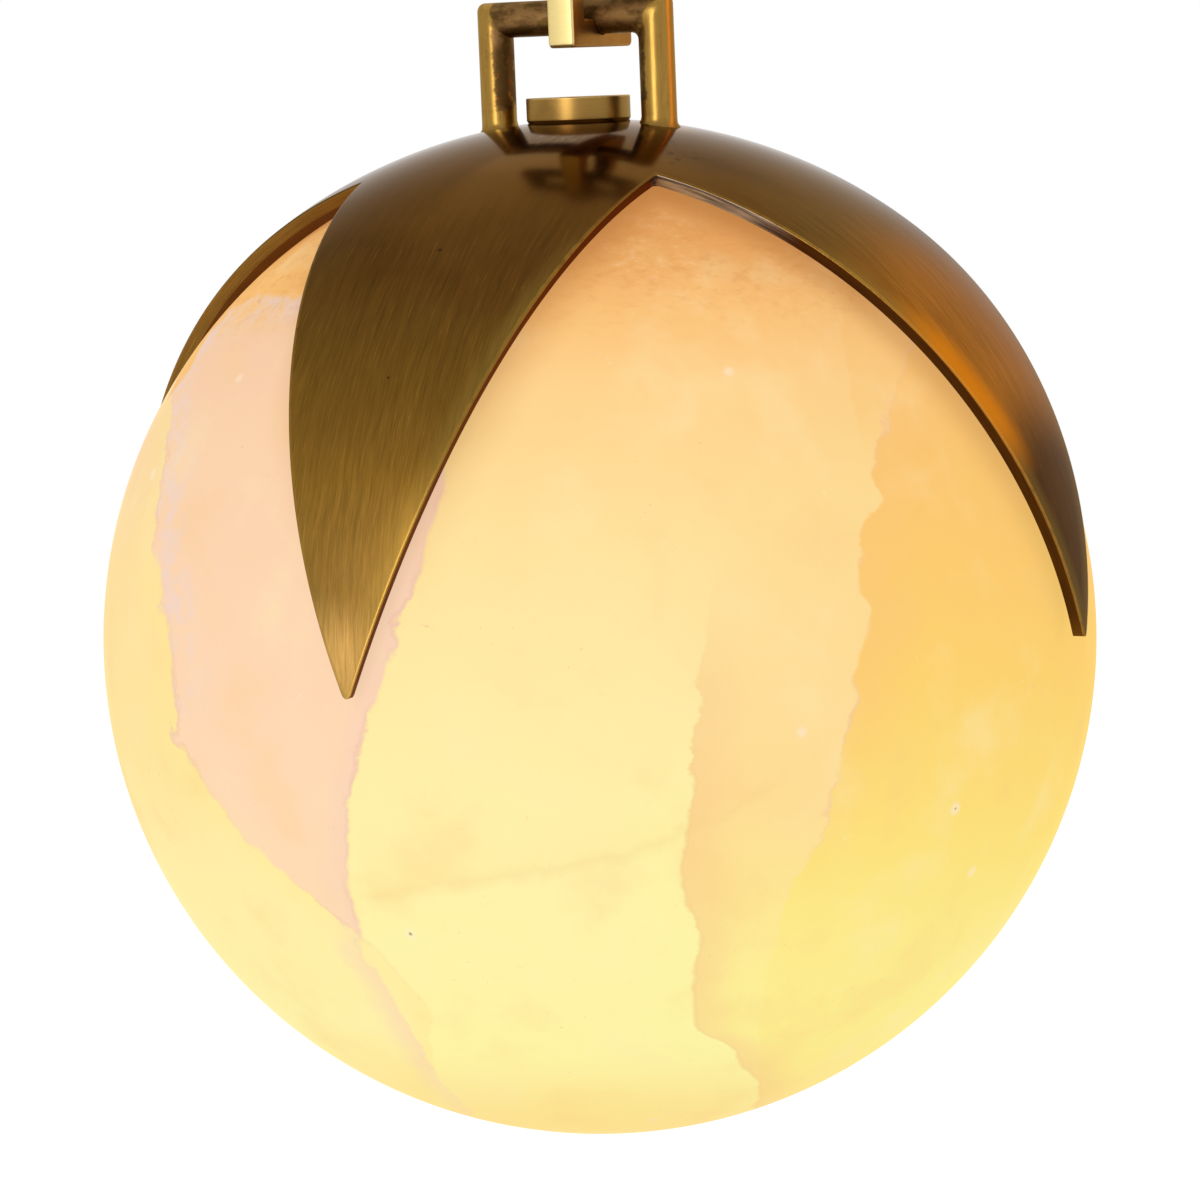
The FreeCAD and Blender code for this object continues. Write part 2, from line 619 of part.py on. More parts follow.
def make_screws():
    """The screws that hold the lampholders up to the lamp plate."""
    screws = []
    for number in range(int(value("lamp_count"))):
        east, north = lamp_place(number)
        for side in (-1, 1):
            name = "holder_screw_%d_%s" % (number + 1, "west" if side < 0 else "east")
            screws.append(screw_at(("%s + %d * screw_offset" % (east, side), north), LAMP_PLATE_TOP, name))
    group = doc.addObject("Part::Compound", "holder_screws")
    group.Links = screws
    group.Label = "holder_screws"
    PIECES.append(group)


def make_terminal():
    """The block in which the supply cable meets the wires of the lamps, and its screw."""
    body = new_body("terminal_block")
    sketch = new_sketch(body, "XY_Plane", LAMP_PLATE_TOP)
    wide = "terminal_width / 2"
    near = "(terminal_place - terminal_length / 2)"
    far = "(terminal_place + terminal_length / 2)"
    outline(sketch, [("-" + wide, near), (wide, near), (wide, far), ("-" + wide, far)])
    circle(sketch, "screw_radius", "0", "terminal_place")
    pad(body, sketch, "terminal_rise")
    screw = screw_at(("0", "terminal_place"), "(%s + terminal_rise)" % LAMP_PLATE_TOP, "terminal_screw")
    length = "terminal_rise + lamp_plate"
    screw.Base.setExpression("Height", formula(length))
    screw.Base.setExpression("Placement.Base.z", formula("lamp_plate_height - %s" % STEM_TOP))
    PIECES.append(screw)


# ---------------------------------------------------------------- build, test and export
make_globe()
make_cap()
make_collar()
make_yoke()
make_link()
make_stem_loop()
make_stem_boss()
make_tube()
make_fixings()
make_seat()
make_strap()
make_pad("strap_pad_west", -1)
make_pad("strap_pad_east", 1)
make_lamp_plate()
for lamp in range(int(value("lamp_count"))):
    make_lamp(lamp)
make_screws()
make_terminal()
doc.recompute()
for item in doc.Objects:
    if "Invalid" in item.State or "Error" in item.State:
        raise RuntimeError("%s failed: %s" % (item.Label, item.State))
for piece in PIECES:
    if piece.Shape.isNull() or not piece.Shape.isValid():
        raise RuntimeError("%s has no valid shape" % piece.Label)
    piece.Shape.exportStep("parts/%s.step" % piece.Label)
    print("%-18s %d solids %10.0f mm3" % (piece.Label, len(piece.Shape.Solids), piece.Shape.Volume))
print("height above the middle of the globe: %.2f mm" % value(STEM_TOP))
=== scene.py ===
"""Looks of the alabaster globe pendant: finishes, finely shaped brass and stone, soft light and the camera.

Shapes are worked out in millimetres about the middle of the globe, with +Z up, and then lowered, so that the
top of the stem is at zero.
"""

import json
import math

import bmesh
import bpy
import numpy as np
from mathutils import Matrix, Vector


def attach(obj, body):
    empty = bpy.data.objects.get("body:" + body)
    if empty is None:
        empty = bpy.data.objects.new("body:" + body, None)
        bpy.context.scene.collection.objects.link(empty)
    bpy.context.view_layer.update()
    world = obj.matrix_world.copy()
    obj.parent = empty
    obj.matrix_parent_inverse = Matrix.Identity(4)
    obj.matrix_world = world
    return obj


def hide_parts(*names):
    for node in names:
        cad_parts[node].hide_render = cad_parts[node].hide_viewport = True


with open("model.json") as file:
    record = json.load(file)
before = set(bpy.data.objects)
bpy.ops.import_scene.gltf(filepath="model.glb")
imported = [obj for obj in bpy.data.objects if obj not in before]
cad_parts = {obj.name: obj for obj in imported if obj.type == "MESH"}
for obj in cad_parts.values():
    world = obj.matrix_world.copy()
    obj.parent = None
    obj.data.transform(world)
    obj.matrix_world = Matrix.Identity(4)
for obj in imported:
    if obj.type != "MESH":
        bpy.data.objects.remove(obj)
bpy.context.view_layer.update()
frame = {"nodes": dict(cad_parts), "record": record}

# ---- sizes, as in the part's source, in millimetres
MM = 0.001
STEM_TOP = 282.7
GLOBE_RADIUS = 150.0
GLOBE_WALL = 10.0
OPENING_RADIUS = 52.0
LIP_RADIUS = 61.0
CAP_INSIDE = 152.8
CAP_OUTSIDE = 156.6
CAP_PLATE = CAP_OUTSIDE - CAP_INSIDE
TUBE_HOLE = 5.2
CAP_NUT_LAND = 12.0
TIP_HEIGHT = 3.2
PETALS = 4
HALF_PETAL = math.pi / PETALS
GAP_TILT = math.radians(54.0)
GAP_ARC_RADIUS = 884.685
GAP_ARC_ACROSS = -583.269
GAP_ARC_DOWN = -637.987
COLLAR_RADIUS = 15.6
COLLAR_SEAT = 155.821
COLLAR_TOP = 163.321
INLET_RADIUS = 5.5
INLET_DEPTH = 5.0
TUBE_RADIUS = 5.0
ROD_RADIUS = 5.35
ROD_HALF_SPAN = 26.8
YOKE_BAR = 187.0
LOOP_FOOT = 228.7
LOOP_HEAD = 262.7
LINK_BAR = 8.4
LINK_HALF_DEPTH = 20.0
LINK_FOOT = 177.85
LINK_HEAD = 237.85
LINK_PLACE = 5.0
SADDLE_RADIUS = 5.4
BOSS_RADIUS = 11.0
THREAD_RADIUS = 4.5
THREAD_DEPTH = 12.0


# ---- meshes from grids of points
def grid_faces(rows, columns, first=0, round_rows=False, round_columns=False):
    """Four corner numbers for each cell of a grid: (row, column), then one column on, then one row on."""
    row = np.arange(rows if round_rows else rows - 1)
    column = np.arange(columns if round_columns else columns - 1)
    row, column = np.meshgrid(row, column, indexing="ij")
    next_row, next_column = (row + 1) % rows, (column + 1) % columns
    corners = (row, column), (row, next_column), (next_row, next_column), (next_row, column)
    return first + np.stack([r * columns + c for r, c in corners], axis=-1).reshape(-1, 4)


def joined(grids):
    """Several grids as one list of points and one of faces; each is (points, round_rows, round_columns)."""
    points, faces, first = [], [], 0
    for grid, round_rows, round_columns in grids:
        rows, columns = grid.shape[:2]
        faces.append(grid_faces(rows, columns, first, round_rows, round_columns))
        points.append(grid.reshape(-1, grid.shape[2]))
        first += rows * columns
    return np.concatenate(points), np.concatenate(faces)


def welded(points, faces):
    """Merges points at the same place, and drops the corners and faces that this empties."""
    keys = np.round(points[:, :3], 4) + 0.0
    _, chosen, renumbered = np.unique(keys, axis=0, return_index=True, return_inverse=True)
    faces = renumbered.reshape(-1)[faces]
    kept = faces != np.roll(faces, -1, axis=1)
    whole = kept.sum(axis=1) > 2
    return points[chosen], faces[whole][kept[whole]], kept[whole].sum(axis=1)


def linked(name, data):
    """An object of a name in the scene."""
    obj = bpy.data.objects.new(name, data)
    bpy.context.scene.collection.objects.link(obj)
    return obj


def piece(name, grids, body, slot, nodes, crease=38.0, marks=()):
    """A closed mesh from grids of points; edges sharper than the crease, in degrees, stay sharp.

    After its place, a point may have more numbers, which the mesh keeps as attributes named by marks.
    """
    points, corners, sides = welded(*joined(grids))
    places = (points[:, :3] - (0.0, 0.0, STEM_TOP)) * MM
    mesh = bpy.data.meshes.new(name)
    mesh.vertices.add(len(places))
    mesh.vertices.foreach_set("co", places.astype(np.float32).ravel())
    mesh.loops.add(len(corners))
    mesh.loops.foreach_set("vertex_index", corners.astype(np.int32))
    mesh.polygons.add(len(sides))
    mesh.polygons.foreach_set("loop_start", (np.cumsum(sides) - sides).astype(np.int32))
    mesh.update(calc_edges=True)
    mesh.validate()
    shell = bmesh.new()
    shell.from_mesh(mesh)
    bmesh.ops.recalc_face_normals(shell, faces=shell.faces)
    shell.to_mesh(mesh)
    shell.free()
    mesh.shade_smooth()
    mesh.set_sharp_from_angle(angle=math.radians(crease))
    for number, mark in enumerate(marks, 3):
        values = mesh.attributes.new(mark, "FLOAT", "POINT").data
        values.foreach_set("value", points[:, number].astype(np.float32))
    mesh.materials.append(FINISHES[slot])
    obj = linked(name, mesh)
    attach(obj, body)
    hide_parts(*nodes)


def turned(profile, columns):
    """A half outline of (radius, height) pairs carried round the vertical axis."""
    profile = np.asarray(profile, float)
    angle = np.arange(columns) * 2 * math.pi / columns
    radius, height = profile[:, :1], profile[:, 1:]
    return np.stack([radius * np.cos(angle), radius * np.sin(angle), height + 0 * angle], axis=-1)


def arc(centre, radius, start, end, count):
    """Points of a circle about (across, up), from one angle to another, in degrees."""
    angle = np.radians(np.linspace(start, end, count))
    return np.stack([centre[0] + radius * np.cos(angle), centre[1] + radius * np.sin(angle)], axis=-1)


def marked(grid, *values):
    """A grid of points, each with further numbers after its place."""
    rows = [np.broadcast_to(value, grid.shape[:2])[..., None] for value in values]
    return np.concatenate([grid, *rows], axis=-1)


def on_sphere(radius, polar, azimuth):
    """Points of a sphere: polar angle from the top, azimuth from +X towards +Y, in radians."""
    flat = radius * np.sin(polar)
    parts = np.broadcast_arrays(flat * np.cos(azimuth), flat * np.sin(azimuth), radius * np.cos(polar))
    return np.stack(parts, axis=-1)


# ---- node trees
def linear(*shade):
    """The linear colour for red, green and blue from 0 to 255 as they look on a screen."""
    shade = [part / 255.0 for part in shade]
    return tuple(s / 12.92 if s <= 0.04045 else ((s + 0.055) / 1.055) ** 2.4 for s in shade)


class Field:
    """A value or colour that varies over a surface. Arithmetic on it adds Math nodes."""

    def __init__(self, nodes, socket):
        self.nodes = nodes
        self.socket = socket

    def out(self, name):
        """Another output of the same node."""
        return Field(self.nodes, self.socket.node.outputs[name])

    def __add__(self, other):
        return self.nodes.maths("ADD", self, other)

    def __sub__(self, other):
        return self.nodes.maths("SUBTRACT", self, other)

    def __rsub__(self, other):
        return self.nodes.maths("SUBTRACT", other, self)

    def __mul__(self, other):
        return self.nodes.maths("MULTIPLY", self, other)

    def __truediv__(self, other):
        return self.nodes.maths("DIVIDE", self, other)

    def __rtruediv__(self, other):
        return self.nodes.maths("DIVIDE", other, self)

    def __pow__(self, other):
        return self.nodes.maths("POWER", self, other)

    def __abs__(self):
        return self.nodes.maths("ABSOLUTE", self)

    def __gt__(self, other):
        return self.nodes.maths("GREATER_THAN", self, other)

    __radd__ = __add__
    __rmul__ = __mul__

    def step(self, low, high):
        """0 below low, 1 above high, and smooth between; the other way round where high is under low."""
        sockets = {"Value": self, "From Min": low, "From Max": high}
        return self.nodes.node("ShaderNodeMapRange", {"interpolation_type": "SMOOTHSTEP"}, sockets)

    def line(self, width):
        """1 where this distance is 0, and 0 past a width on either side."""
        return abs(self).step(width, 0.0)

    def tint(self, amount, *shade):
        """This colour with a shade laid over it, by an amount from 0 to 1."""
        return self.nodes.colours(amount, self, shade)

    def tints(self, *layers):
        """This colour with several shades laid over it in turn, each (amount, red, green, blue)."""
        colour = self
        for layer in layers:
            colour = colour.tint(*layer)
        return colour


class Nodes:
    """The nodes of a material or of the world."""

    def __init__(self, tree):
        self.tree = tree

    def feed(self, socket, value):
        """Links a Field to a socket, or gives the socket a number or colour of its own."""
        if isinstance(value, Field):
            self.tree.links.new(value.socket, socket)
        else:
            socket.default_value = value

    def node(self, kind, settings, values, output=0):
        """Any node: its settings first, then the values or links of its sockets, by name or number."""
        made = self.tree.nodes.new(kind)
        for name, setting in settings.items():
            if name == "stops":
                set_stops(made.color_ramp, setting)
            else:
                setattr(made, name, setting)
        for name, value in values.items():
            self.feed(made.inputs[name], value)
        return Field(self, made.outputs[output])

    def maths(self, operation, *values):
        """A Math node."""
        return self.node("ShaderNodeMath", {"operation": operation}, dict(enumerate(values)))


def set_stops(ramp, stops):
    """Gives a colour ramp its stops, each (position from 0 to 1, colour), from the lowest."""
    while len(ramp.elements) > 1:
        ramp.elements.remove(ramp.elements[-1])
    for number, (position, colour) in enumerate(stops):
        stop = ramp.elements.new(position) if number else ramp.elements[0]
        stop.position = position
        stop.color = (*colour, 1.0)


class Finish(Nodes):
    """A procedural material; its patterns follow the place in millimetres about the middle of the globe."""

    def __init__(self, name, shade, roughness, metallic=0.0, **fixed):
        self.material = bpy.data.materials.new(name)
        self.material.use_nodes = True
        self.material.diffuse_color = (*linear(*shade), 1.0)
        super().__init__(self.material.node_tree)
        self.shader = self.tree.nodes["Principled BSDF"]
        self.set(Base_Color=self.material.diffuse_color, Roughness=roughness, Metallic=metallic, **fixed)
        place = self.node("ShaderNodeTexCoord", {}, {}, "Object")
        lift = {"Location": (0.0, 0.0, STEM_TOP), "Scale": (1 / MM, 1 / MM, 1 / MM)}
        self.place = self.node("ShaderNodeMapping", {"vector_type": "POINT"}, {"Vector": place, **lift})

    def set(self, **sockets):
        """Sets the shader's sockets: a number or colour is fixed, a Field varies."""
        for name, value in sockets.items():
            self.feed(self.shader.inputs[name.replace("_", " ")], value)

    def made(self, colour, rough, normal):
        """The material, once the shader has its colour, roughness and normal."""
        self.set(Base_Color=colour, Roughness=rough, Normal=normal)
        return self.material

    def parts(self):
        """The place's three numbers: to the east, to the back and up."""
        split = self.node("ShaderNodeSeparateXYZ", {}, {"Vector": self.place})
        return split, split.out("Y"), split.out("Z")

    def vector(self, x, y, z):
        """A vector from three numbers."""
        return self.node("ShaderNodeCombineXYZ", {}, {"X": x, "Y": y, "Z": z})

    def vectors(self, operation, first, second, output=0):
        """Vector maths."""
        return self.node("ShaderNodeVectorMath", {"operation": operation}, {0: first, 1: second}, output)

    def along(self, direction):
        """How far the place lies along a direction."""
        return self.vectors("DOT_PRODUCT", self.place, direction, "Value")

    def stretched(self, x, y, z):
        """The place, each of its numbers times one of these."""
        return self.vectors("MULTIPLY", self.place, (x, y, z))

    def noise(self, size, detail=3.0, rough=0.5, warp=0.0, at=None):
        """Cloudy noise from 0 to 1 with features of a size in millimetres."""
        values = {"Vector": at or self.place, "Scale": 1.0 / size, "Detail": detail, "Roughness": rough}
        return self.node("ShaderNodeTexNoise", {}, {**values, "Distortion": warp})

    def cells(self, size, at=None):
        """Distance to the nearest of scattered points, where 1 is a size in millimetres."""
        values = {"Vector": at or self.place, "Scale": 1.0 / size}
        return self.node("ShaderNodeTexVoronoi", {}, values, "Distance")

    def colours(self, amount, first, second):
        """Between two colours, each a Field or a shade on a screen, by an amount from 0 to 1."""
        first, second = [c if isinstance(c, Field) else (*linear(*c), 1.0) for c in (first, second)]
        return self.node("ShaderNodeMix", {"data_type": "RGBA"}, {0: amount, 6: first, 7: second}, 2)

    def mark(self, name):
        """A number that the mesh carries at each point."""
        return self.node("ShaderNodeAttribute", {"attribute_name": name}, {}, "Fac")

    def within(self, centre, reach, soft):
        """1 inside a ball and 0 outside, softened over a distance, all in millimetres."""
        return self.vectors("DISTANCE", self.place, centre, "Value").step(reach + soft, reach)

    def bump(self, height, depth, strength):
        """A bump of a height from 0 to 1 times a depth in millimetres."""
        values = {"Height": height, "Distance": depth * MM, "Strength": strength}
        return self.node("ShaderNodeBump", {}, values)


# ---- finishes
STONE_EAST = (0.896, 0.443, -0.041)
STONE_UP = (-0.019, 0.129, 0.991)
STONE_FRONT = (0.444, -0.887, 0.124)
STONE_SPAN = 160.0
STONE_GLOW = 0.84
STONE_BODY = 0.17

# Shades of the lit stone up each zone: height in millimetres, and red, green and blue on a screen.
# Near the top, most zones darken: painted shade under the cap.
MIDDLE_SHADES = [(-150, 255, 231, 148), (-125, 255, 245, 165), (-85, 255, 243, 170), (-38, 255, 238, 168),
                 (5, 255, 232, 164), (28, 255, 226, 157), (70, 255, 212, 143), (92, 252, 193, 119),
                 (112, 240, 174, 103), (130, 228, 160, 95)]
PINK_SHADES = [(-90, 255, 221, 178), (-40, 254, 217, 180), (10, 253, 214, 178), (55, 251, 211, 173),
               (86, 247, 205, 168), (96, 248, 200, 140), (120, 246, 190, 112)]
WEST_SHADES = [(-150, 255, 233, 150), (-110, 255, 241, 168), (-70, 255, 238, 168), (-30, 255, 229, 158),
               (20, 255, 224, 160), (60, 252, 216, 166)]
WEDGE_SHADES = [(-145, 255, 238, 148), (-102, 255, 243, 153), (-80, 255, 235, 151), (-45, 255, 222, 150),
                (-22, 255, 223, 154), (40, 255, 221, 150), (80, 252, 206, 136), (110, 238, 180, 112)]
EAST_SHADES = [(-145, 255, 234, 138), (-85, 255, 238, 138), (-50, 255, 226, 124), (-10, 255, 213, 114),
               (30, 254, 205, 114), (75, 251, 196, 118), (110, 236, 176, 106)]

# Where each vein runs round the near side: (height, place towards the east), in millimetres.
WEST_VEIN = [(-104, -48), (-88, -63), (-75, -79), (-62, -95), (-46, -109), (-30, -120), (0, -122),
             (22, -127), (62, -125), (100, -130)]
PINK_VEIN = [(-140, -38), (-120, -51), (-104, -58), (-88, -67), (-68, -71), (-45, -70), (-30, -66),
             (-10, -59), (20, -49), (45, -43), (90, -40)]
MIDDLE_VEIN = [(-130, 47), (-116, 37), (-111, 27), (-97, 26), (-84, 28), (-72, 24), (-62, 22), (-42, 26),
               (-12, 27), (10, 30), (45, 44), (85, 58)]
EAST_VEIN = [(-95, 46), (-57, 59), (-34, 67), (-17, 71), (-12, 69), (0, 74), (8, 75), (13, 71), (30, 73),
             (38, 78), (46, 76), (60, 80), (81, 87), (110, 96)]
FAINT_VEIN = [(50, 73), (80, 69), (96, 68), (130, 64)]
# Height of the torn edge of the orange stone in the west window: (place towards the east, height).
WINDOW_VEIN = [(-135, 64), (-122, 78), (-116, 91), (-110, 97), (-98, 100), (-88, 98), (-60, 103)]
FOOT_CRACK = [(-77, -95), (-74, -72), (-70, -52), (-65, -18), (-60, 7), (-53, 24), (-46, 38), (-32, 60)]


def on_ramp(place):
    """A colour ramp's position from 0 to 1 for a place from -STONE_SPAN to STONE_SPAN."""
    return place / (2 * STONE_SPAN) + 0.5


def by_height(up, shades):
    """A colour from a list of heights with their shades."""
    stops = [(on_ramp(height), linear(*shade)) for height, *shade in shades]
    return up.nodes.node("ShaderNodeValToRGB", {"stops": stops}, {"Fac": on_ramp(up)})


def past_vein(along, across, vein):
    """How far a point lies past a vein, a list of (place along, place across), in millimetres."""
    stops = [(on_ramp(place), [on_ramp(side)] * 3) for place, side in vein]
    ramp = along.nodes.node("ShaderNodeValToRGB", {"stops": stops}, {"Fac": on_ramp(along)})
    return across + STONE_SPAN - ramp * (2 * STONE_SPAN)


def alabaster_finish():
    """Lit alabaster: sheets of pink, yellow and orange stone that meet at torn veins, clouded and flecked.

    The colour glows, and a darker part of it takes the light of the room. A vein's place is a line of a few
    points through the block, moved by noise; on the far side the sheets slope, so that they lie elsewhere.
    Near the petals' edges and towards the top, the colour is darkened with painted shade from the cap.
    """
    finish = Finish("alabaster", (240, 200, 140), 0.4, Specular_IOR_Level=0.001)
    front = finish.along(STONE_FRONT)
    behind = finish.maths("MINIMUM", front, 0.0)
    ragged = finish.noise(32.0, 1.0).step(0.36, 0.6) * 11.0 + 4.0
    torn = (finish.noise(16.0, 7.0, 0.66) - 0.5) * ragged + (finish.cells(6.0) - 0.5) * 1.4
    slow = (finish.noise(70.0, 1.0) - 0.5) * 14.0
    up = finish.along(STONE_UP) + behind * 0.12
    east = finish.along(STONE_EAST) - behind * 0.35
    soft_up = up + slow
    east_torn = east + torn

    pink_side = past_vein(up, east_torn, PINK_VEIN)
    west_side = past_vein(up, east_torn + slow * 0.15, WEST_VEIN)
    middle_side = past_vein(up, east_torn, MIDDLE_VEIN)
    east_side = past_vein(up, east_torn, EAST_VEIN)
    crack = past_vein(east, up + torn * 1.3, [(across, height) for height, across in FOOT_CRACK])

    low = up.step(8.0, -26.0)
    wedge = middle_side.step(-0.7, 0.7) * low + middle_side.step(-22.0, 24.0) * (1.0 - low)
    pink = pink_side.step(0.7, -0.7) * up.step(-96.0, -84.0)
    east_zone = east_side.step(-0.8, 0.8) * (up.step(-105.0, -60.0) * 0.55 + 0.45)
    faint_zone = past_vein(up, east_torn, FAINT_VEIN).step(-0.8, 0.8) * up.step(46.0, 70.0) * 0.4
    colour = by_height(soft_up, MIDDLE_SHADES)
    for zone, shades in ((wedge, WEDGE_SHADES), (east_zone, EAST_SHADES), (faint_zone, EAST_SHADES)):
        colour = finish.colours(zone, colour, by_height(soft_up, shades))
    colour = finish.colours(pink, colour, by_height(up + torn * 0.4, PINK_SHADES))
    over_window = past_vein(east, up + torn * 0.7, WINDOW_VEIN)
    window = east.step(-62.0, -80.0) * front.step(-30.0, 0.0)
    colour = colour.tint(over_window.step(-0.6, 0.8) * window, 251, 193, 116)
    mottled = finish.noise(7.0, 5.0, 0.66).step(0.4, 0.6) * over_window.step(-12.0, 0.0)
    colour = colour.tint(mottled * over_window.step(1.2, -1.0) * window * 0.9, 236, 210, 200)
    colour = finish.colours(west_side.step(0.8, -0.8), colour, by_height(soft_up, WEST_SHADES))
    colour = alabaster_veins(finish, colour, up, pink_side, west_side, middle_side, east_side, crack)
    colour = alabaster_flecks(finish, colour, up)

    margin = finish.mark("margin")
    # Painted shade from the cap: darker along the petals' edges, and darker under the crown near the top.
    painted_cap_shade = margin.step(15.0, -2.0) * up.step(0.0, 100.0) * 0.42
    crown = (up + torn * 2.0).step(82.0, 132.0) * margin.step(60.0, 5.0) * 0.5
    colour = colour.tint(painted_cap_shade + crown, 204, 136, 72)
    colour = colour.tint(up.step(-112.0, -148.0) * 0.45, 252, 214, 132)
    glow = finish.vectors("MULTIPLY", colour, [STONE_GLOW] * 3)
    body = finish.vectors("MULTIPLY", colour, [STONE_BODY] * 3)
    scratches = finish.noise(1.0, at=finish.stretched(0.05, 0.05, 1.6))
    finish.set(Emission_Color=glow, Emission_Strength=1.0)
    rough = finish.noise(9.0, 4.0) * 0.16 + scratches.step(0.62, 0.7) * 0.12 + 0.3
    return finish.made(body, rough, finish.bump(scratches, 0.02, 0.25))


def alabaster_veins(finish, colour, up, pink_side, west_side, middle_side, east_side, crack):
    """Thin lines along the veins, and the shade that gathers on one side of them."""
    beside = middle_side.step(16.0, 0.5) * middle_side.step(-0.5, 0.5) * up.step(30.0, -30.0)
    before = middle_side.step(-26.0, -1.0) * middle_side.step(0.5, -0.5)
    shade_east = east_side.step(20.0, 0.5) * east_side.step(-0.5, 0.5) * up.step(-90.0, 0.0)
    glow_west = west_side.step(-12.0, 0.0) * west_side.step(0.5, -0.5)
    mottled = finish.noise(6.0, 5.0, 0.66).step(0.42, 0.56) * up.step(-28.0, -8.0)
    pale_band = west_side.step(13.0, 3.0) * west_side.step(-0.6, 0.6) * up.step(84.0, 64.0)
    grey_band = pink_side.step(-9.0, 0.0) * pink_side.step(0.5, -0.5)
    seen = finish.noise(30.0, 2.0).step(0.35, 0.6)
    drawn = ((pink_side, 1.5, 0.55, -112.0, -72.0), (west_side, 1.2, 0.5, -106.0, -76.0),
             (east_side, 1.0, 0.35, -66.0, -44.0))
    lines = [(side.line(width) * seen * up.step(low, high) * amount, 238, 190, 172)
             for side, width, amount, low, high in drawn]
    edge = middle_side.line(1.1) * up.step(10.0, -40.0)
    sliver = pink_side.step(-9.0, -1.0) * pink_side.step(0.8, -0.8) * up.step(-78.0, -98.0)
    faint = crack.line(3.0) * pink_side.step(0.0, 8.0) * east_side.step(0.0, -12.0)
    broken = finish.noise(18.0, 3.0).step(0.3, 0.5)
    above_crack = crack.step(16.0, 0.0) * crack.step(-0.5, 1.0) * pink_side.step(0.0, 20.0)
    return colour.tints(
        (beside * 0.5, 250, 208, 146),
        (before * up.step(-20.0, -70.0) * 0.55, 255, 248, 168),
        (shade_east * 0.45, 252, 200, 124),
        (glow_west * 0.35, 255, 234, 150),
        (mottled * pale_band * 0.6, 240, 214, 204),
        (grey_band * 0.3, 243, 204, 190),
        *lines,
        (edge * 0.5, 244, 206, 140),
        (sliver * up.step(-146.0, -112.0) * 0.5, 255, 222, 176),
        (above_crack * middle_side.step(0.0, -12.0) * 0.12, 246, 214, 140),
        (faint * broken * 0.2, 242, 204, 134),
    )


def alabaster_flecks(finish, colour, up):
    """Clouds, pale flecks near the top, pink flecks and a few dark specks with pale rings."""
    clouds = finish.noise(34.0, 5.0, 0.55)
    grain = finish.noise(4.0, 8.0, 0.72, 0.8)
    sparse = finish.noise(26.0, 2.0)
    mottle = finish.noise(1.0, 7.0, 0.66, at=finish.stretched(0.22, 0.22, 0.5))
    crown_flecks = mottle.step(0.5, 0.7) * up.step(72.0, 104.0) * sparse.step(0.36, 0.56)
    pink = finish.noise(2.2, 4.0, 0.7).step(0.66, 0.7) * sparse.step(0.56, 0.64)
    pale = grain.step(0.66, 0.7) * sparse.step(0.5, 0.6)
    speck = finish.cells(30.0)
    rare = finish.noise(48.0, 1.0).step(0.52, 0.58)
    return colour.tints(
        (clouds.step(0.5, 0.78) * 0.35, 255, 238, 182),
        (clouds.step(0.5, 0.25) * 0.3, 250, 204, 134),
        (crown_flecks * 0.55, 254, 208, 150),
        (mottle.step(0.5, 0.34) * up.step(78.0, 108.0) * 0.4, 222, 156, 96),
        (grain.step(0.62, 0.8) * 0.26, 255, 244, 206),
        (grain.step(0.4, 0.24) * 0.24, 240, 196, 140),
        (pink * 0.5, 236, 176, 160),
        (pale * 0.5, 255, 250, 224),
        (speck.step(0.09, 0.04) * rare * 0.5, 255, 236, 214),
        (speck.step(0.026, 0.016) * rare * 0.85, 110, 62, 34),
    )


# Spots of painted light, shade and reflection on the brass, such as a tip's highlight and an orange
# reflection: middle in millimetres, reach, softness, amount and shade on a screen.
CAP_PAINTED_SPOTS = [((92, -2, 127), 14, 34, 0.5, (122, 90, 42)), ((22, -97, 122), 8, 22, 0.45, (70, 44, 15)),
               ((56, -31, 143), 3, 10, 0.4, (70, 46, 20)), ((132, 0, 86), 22, 44, 0.85, (160, 98, 29)),
               ((153, 2, 28), 26, 32, 0.96, (66, 41, 22)), ((0, -155, 12), 12, 50, 0.35, (160, 122, 62)),
               ((-6, -156, 8), 4, 22, 0.8, (222, 172, 96))]
# Shades of the brass by height in millimetres, paler towards the tips and darkest just below the dome:
# painted light and shade.
CAP_SHADES = [(0, 138, 101, 42), (60, 128, 93, 33), (96, 98, 68, 23), (120, 76, 49, 16), (158, 90, 60, 24)]


def petal_brushing(finish):
    """The place's parts, and fine and broad brushed lines down each petal.

    A petal lies along +X, +Y, -X or -Y. The lines keep their distance from its middle line, so the noise is
    fine across the petal and drawn out along it.
    """
    x, y, z = finish.parts()
    along_x = abs(x) > abs(y)
    across = y * along_x + x * (1.0 - along_x)
    away = finish.maths("MAXIMUM", abs(x), abs(y))
    wander = finish.noise(26.0, 2.0) * 5.0
    thread = finish.vector(across * 2.6 + wander, z * 0.11, away * 0.03 + along_x * 40.0)
    fine = finish.noise(1.0, 5.0, 0.65, at=thread)
    band = finish.vector(across * 0.5 + wander * 0.3, z * 0.03, along_x * 90.0)
    broad = finish.noise(1.0, 3.0, 0.55, at=band)
    return x, y, z, fine, broad


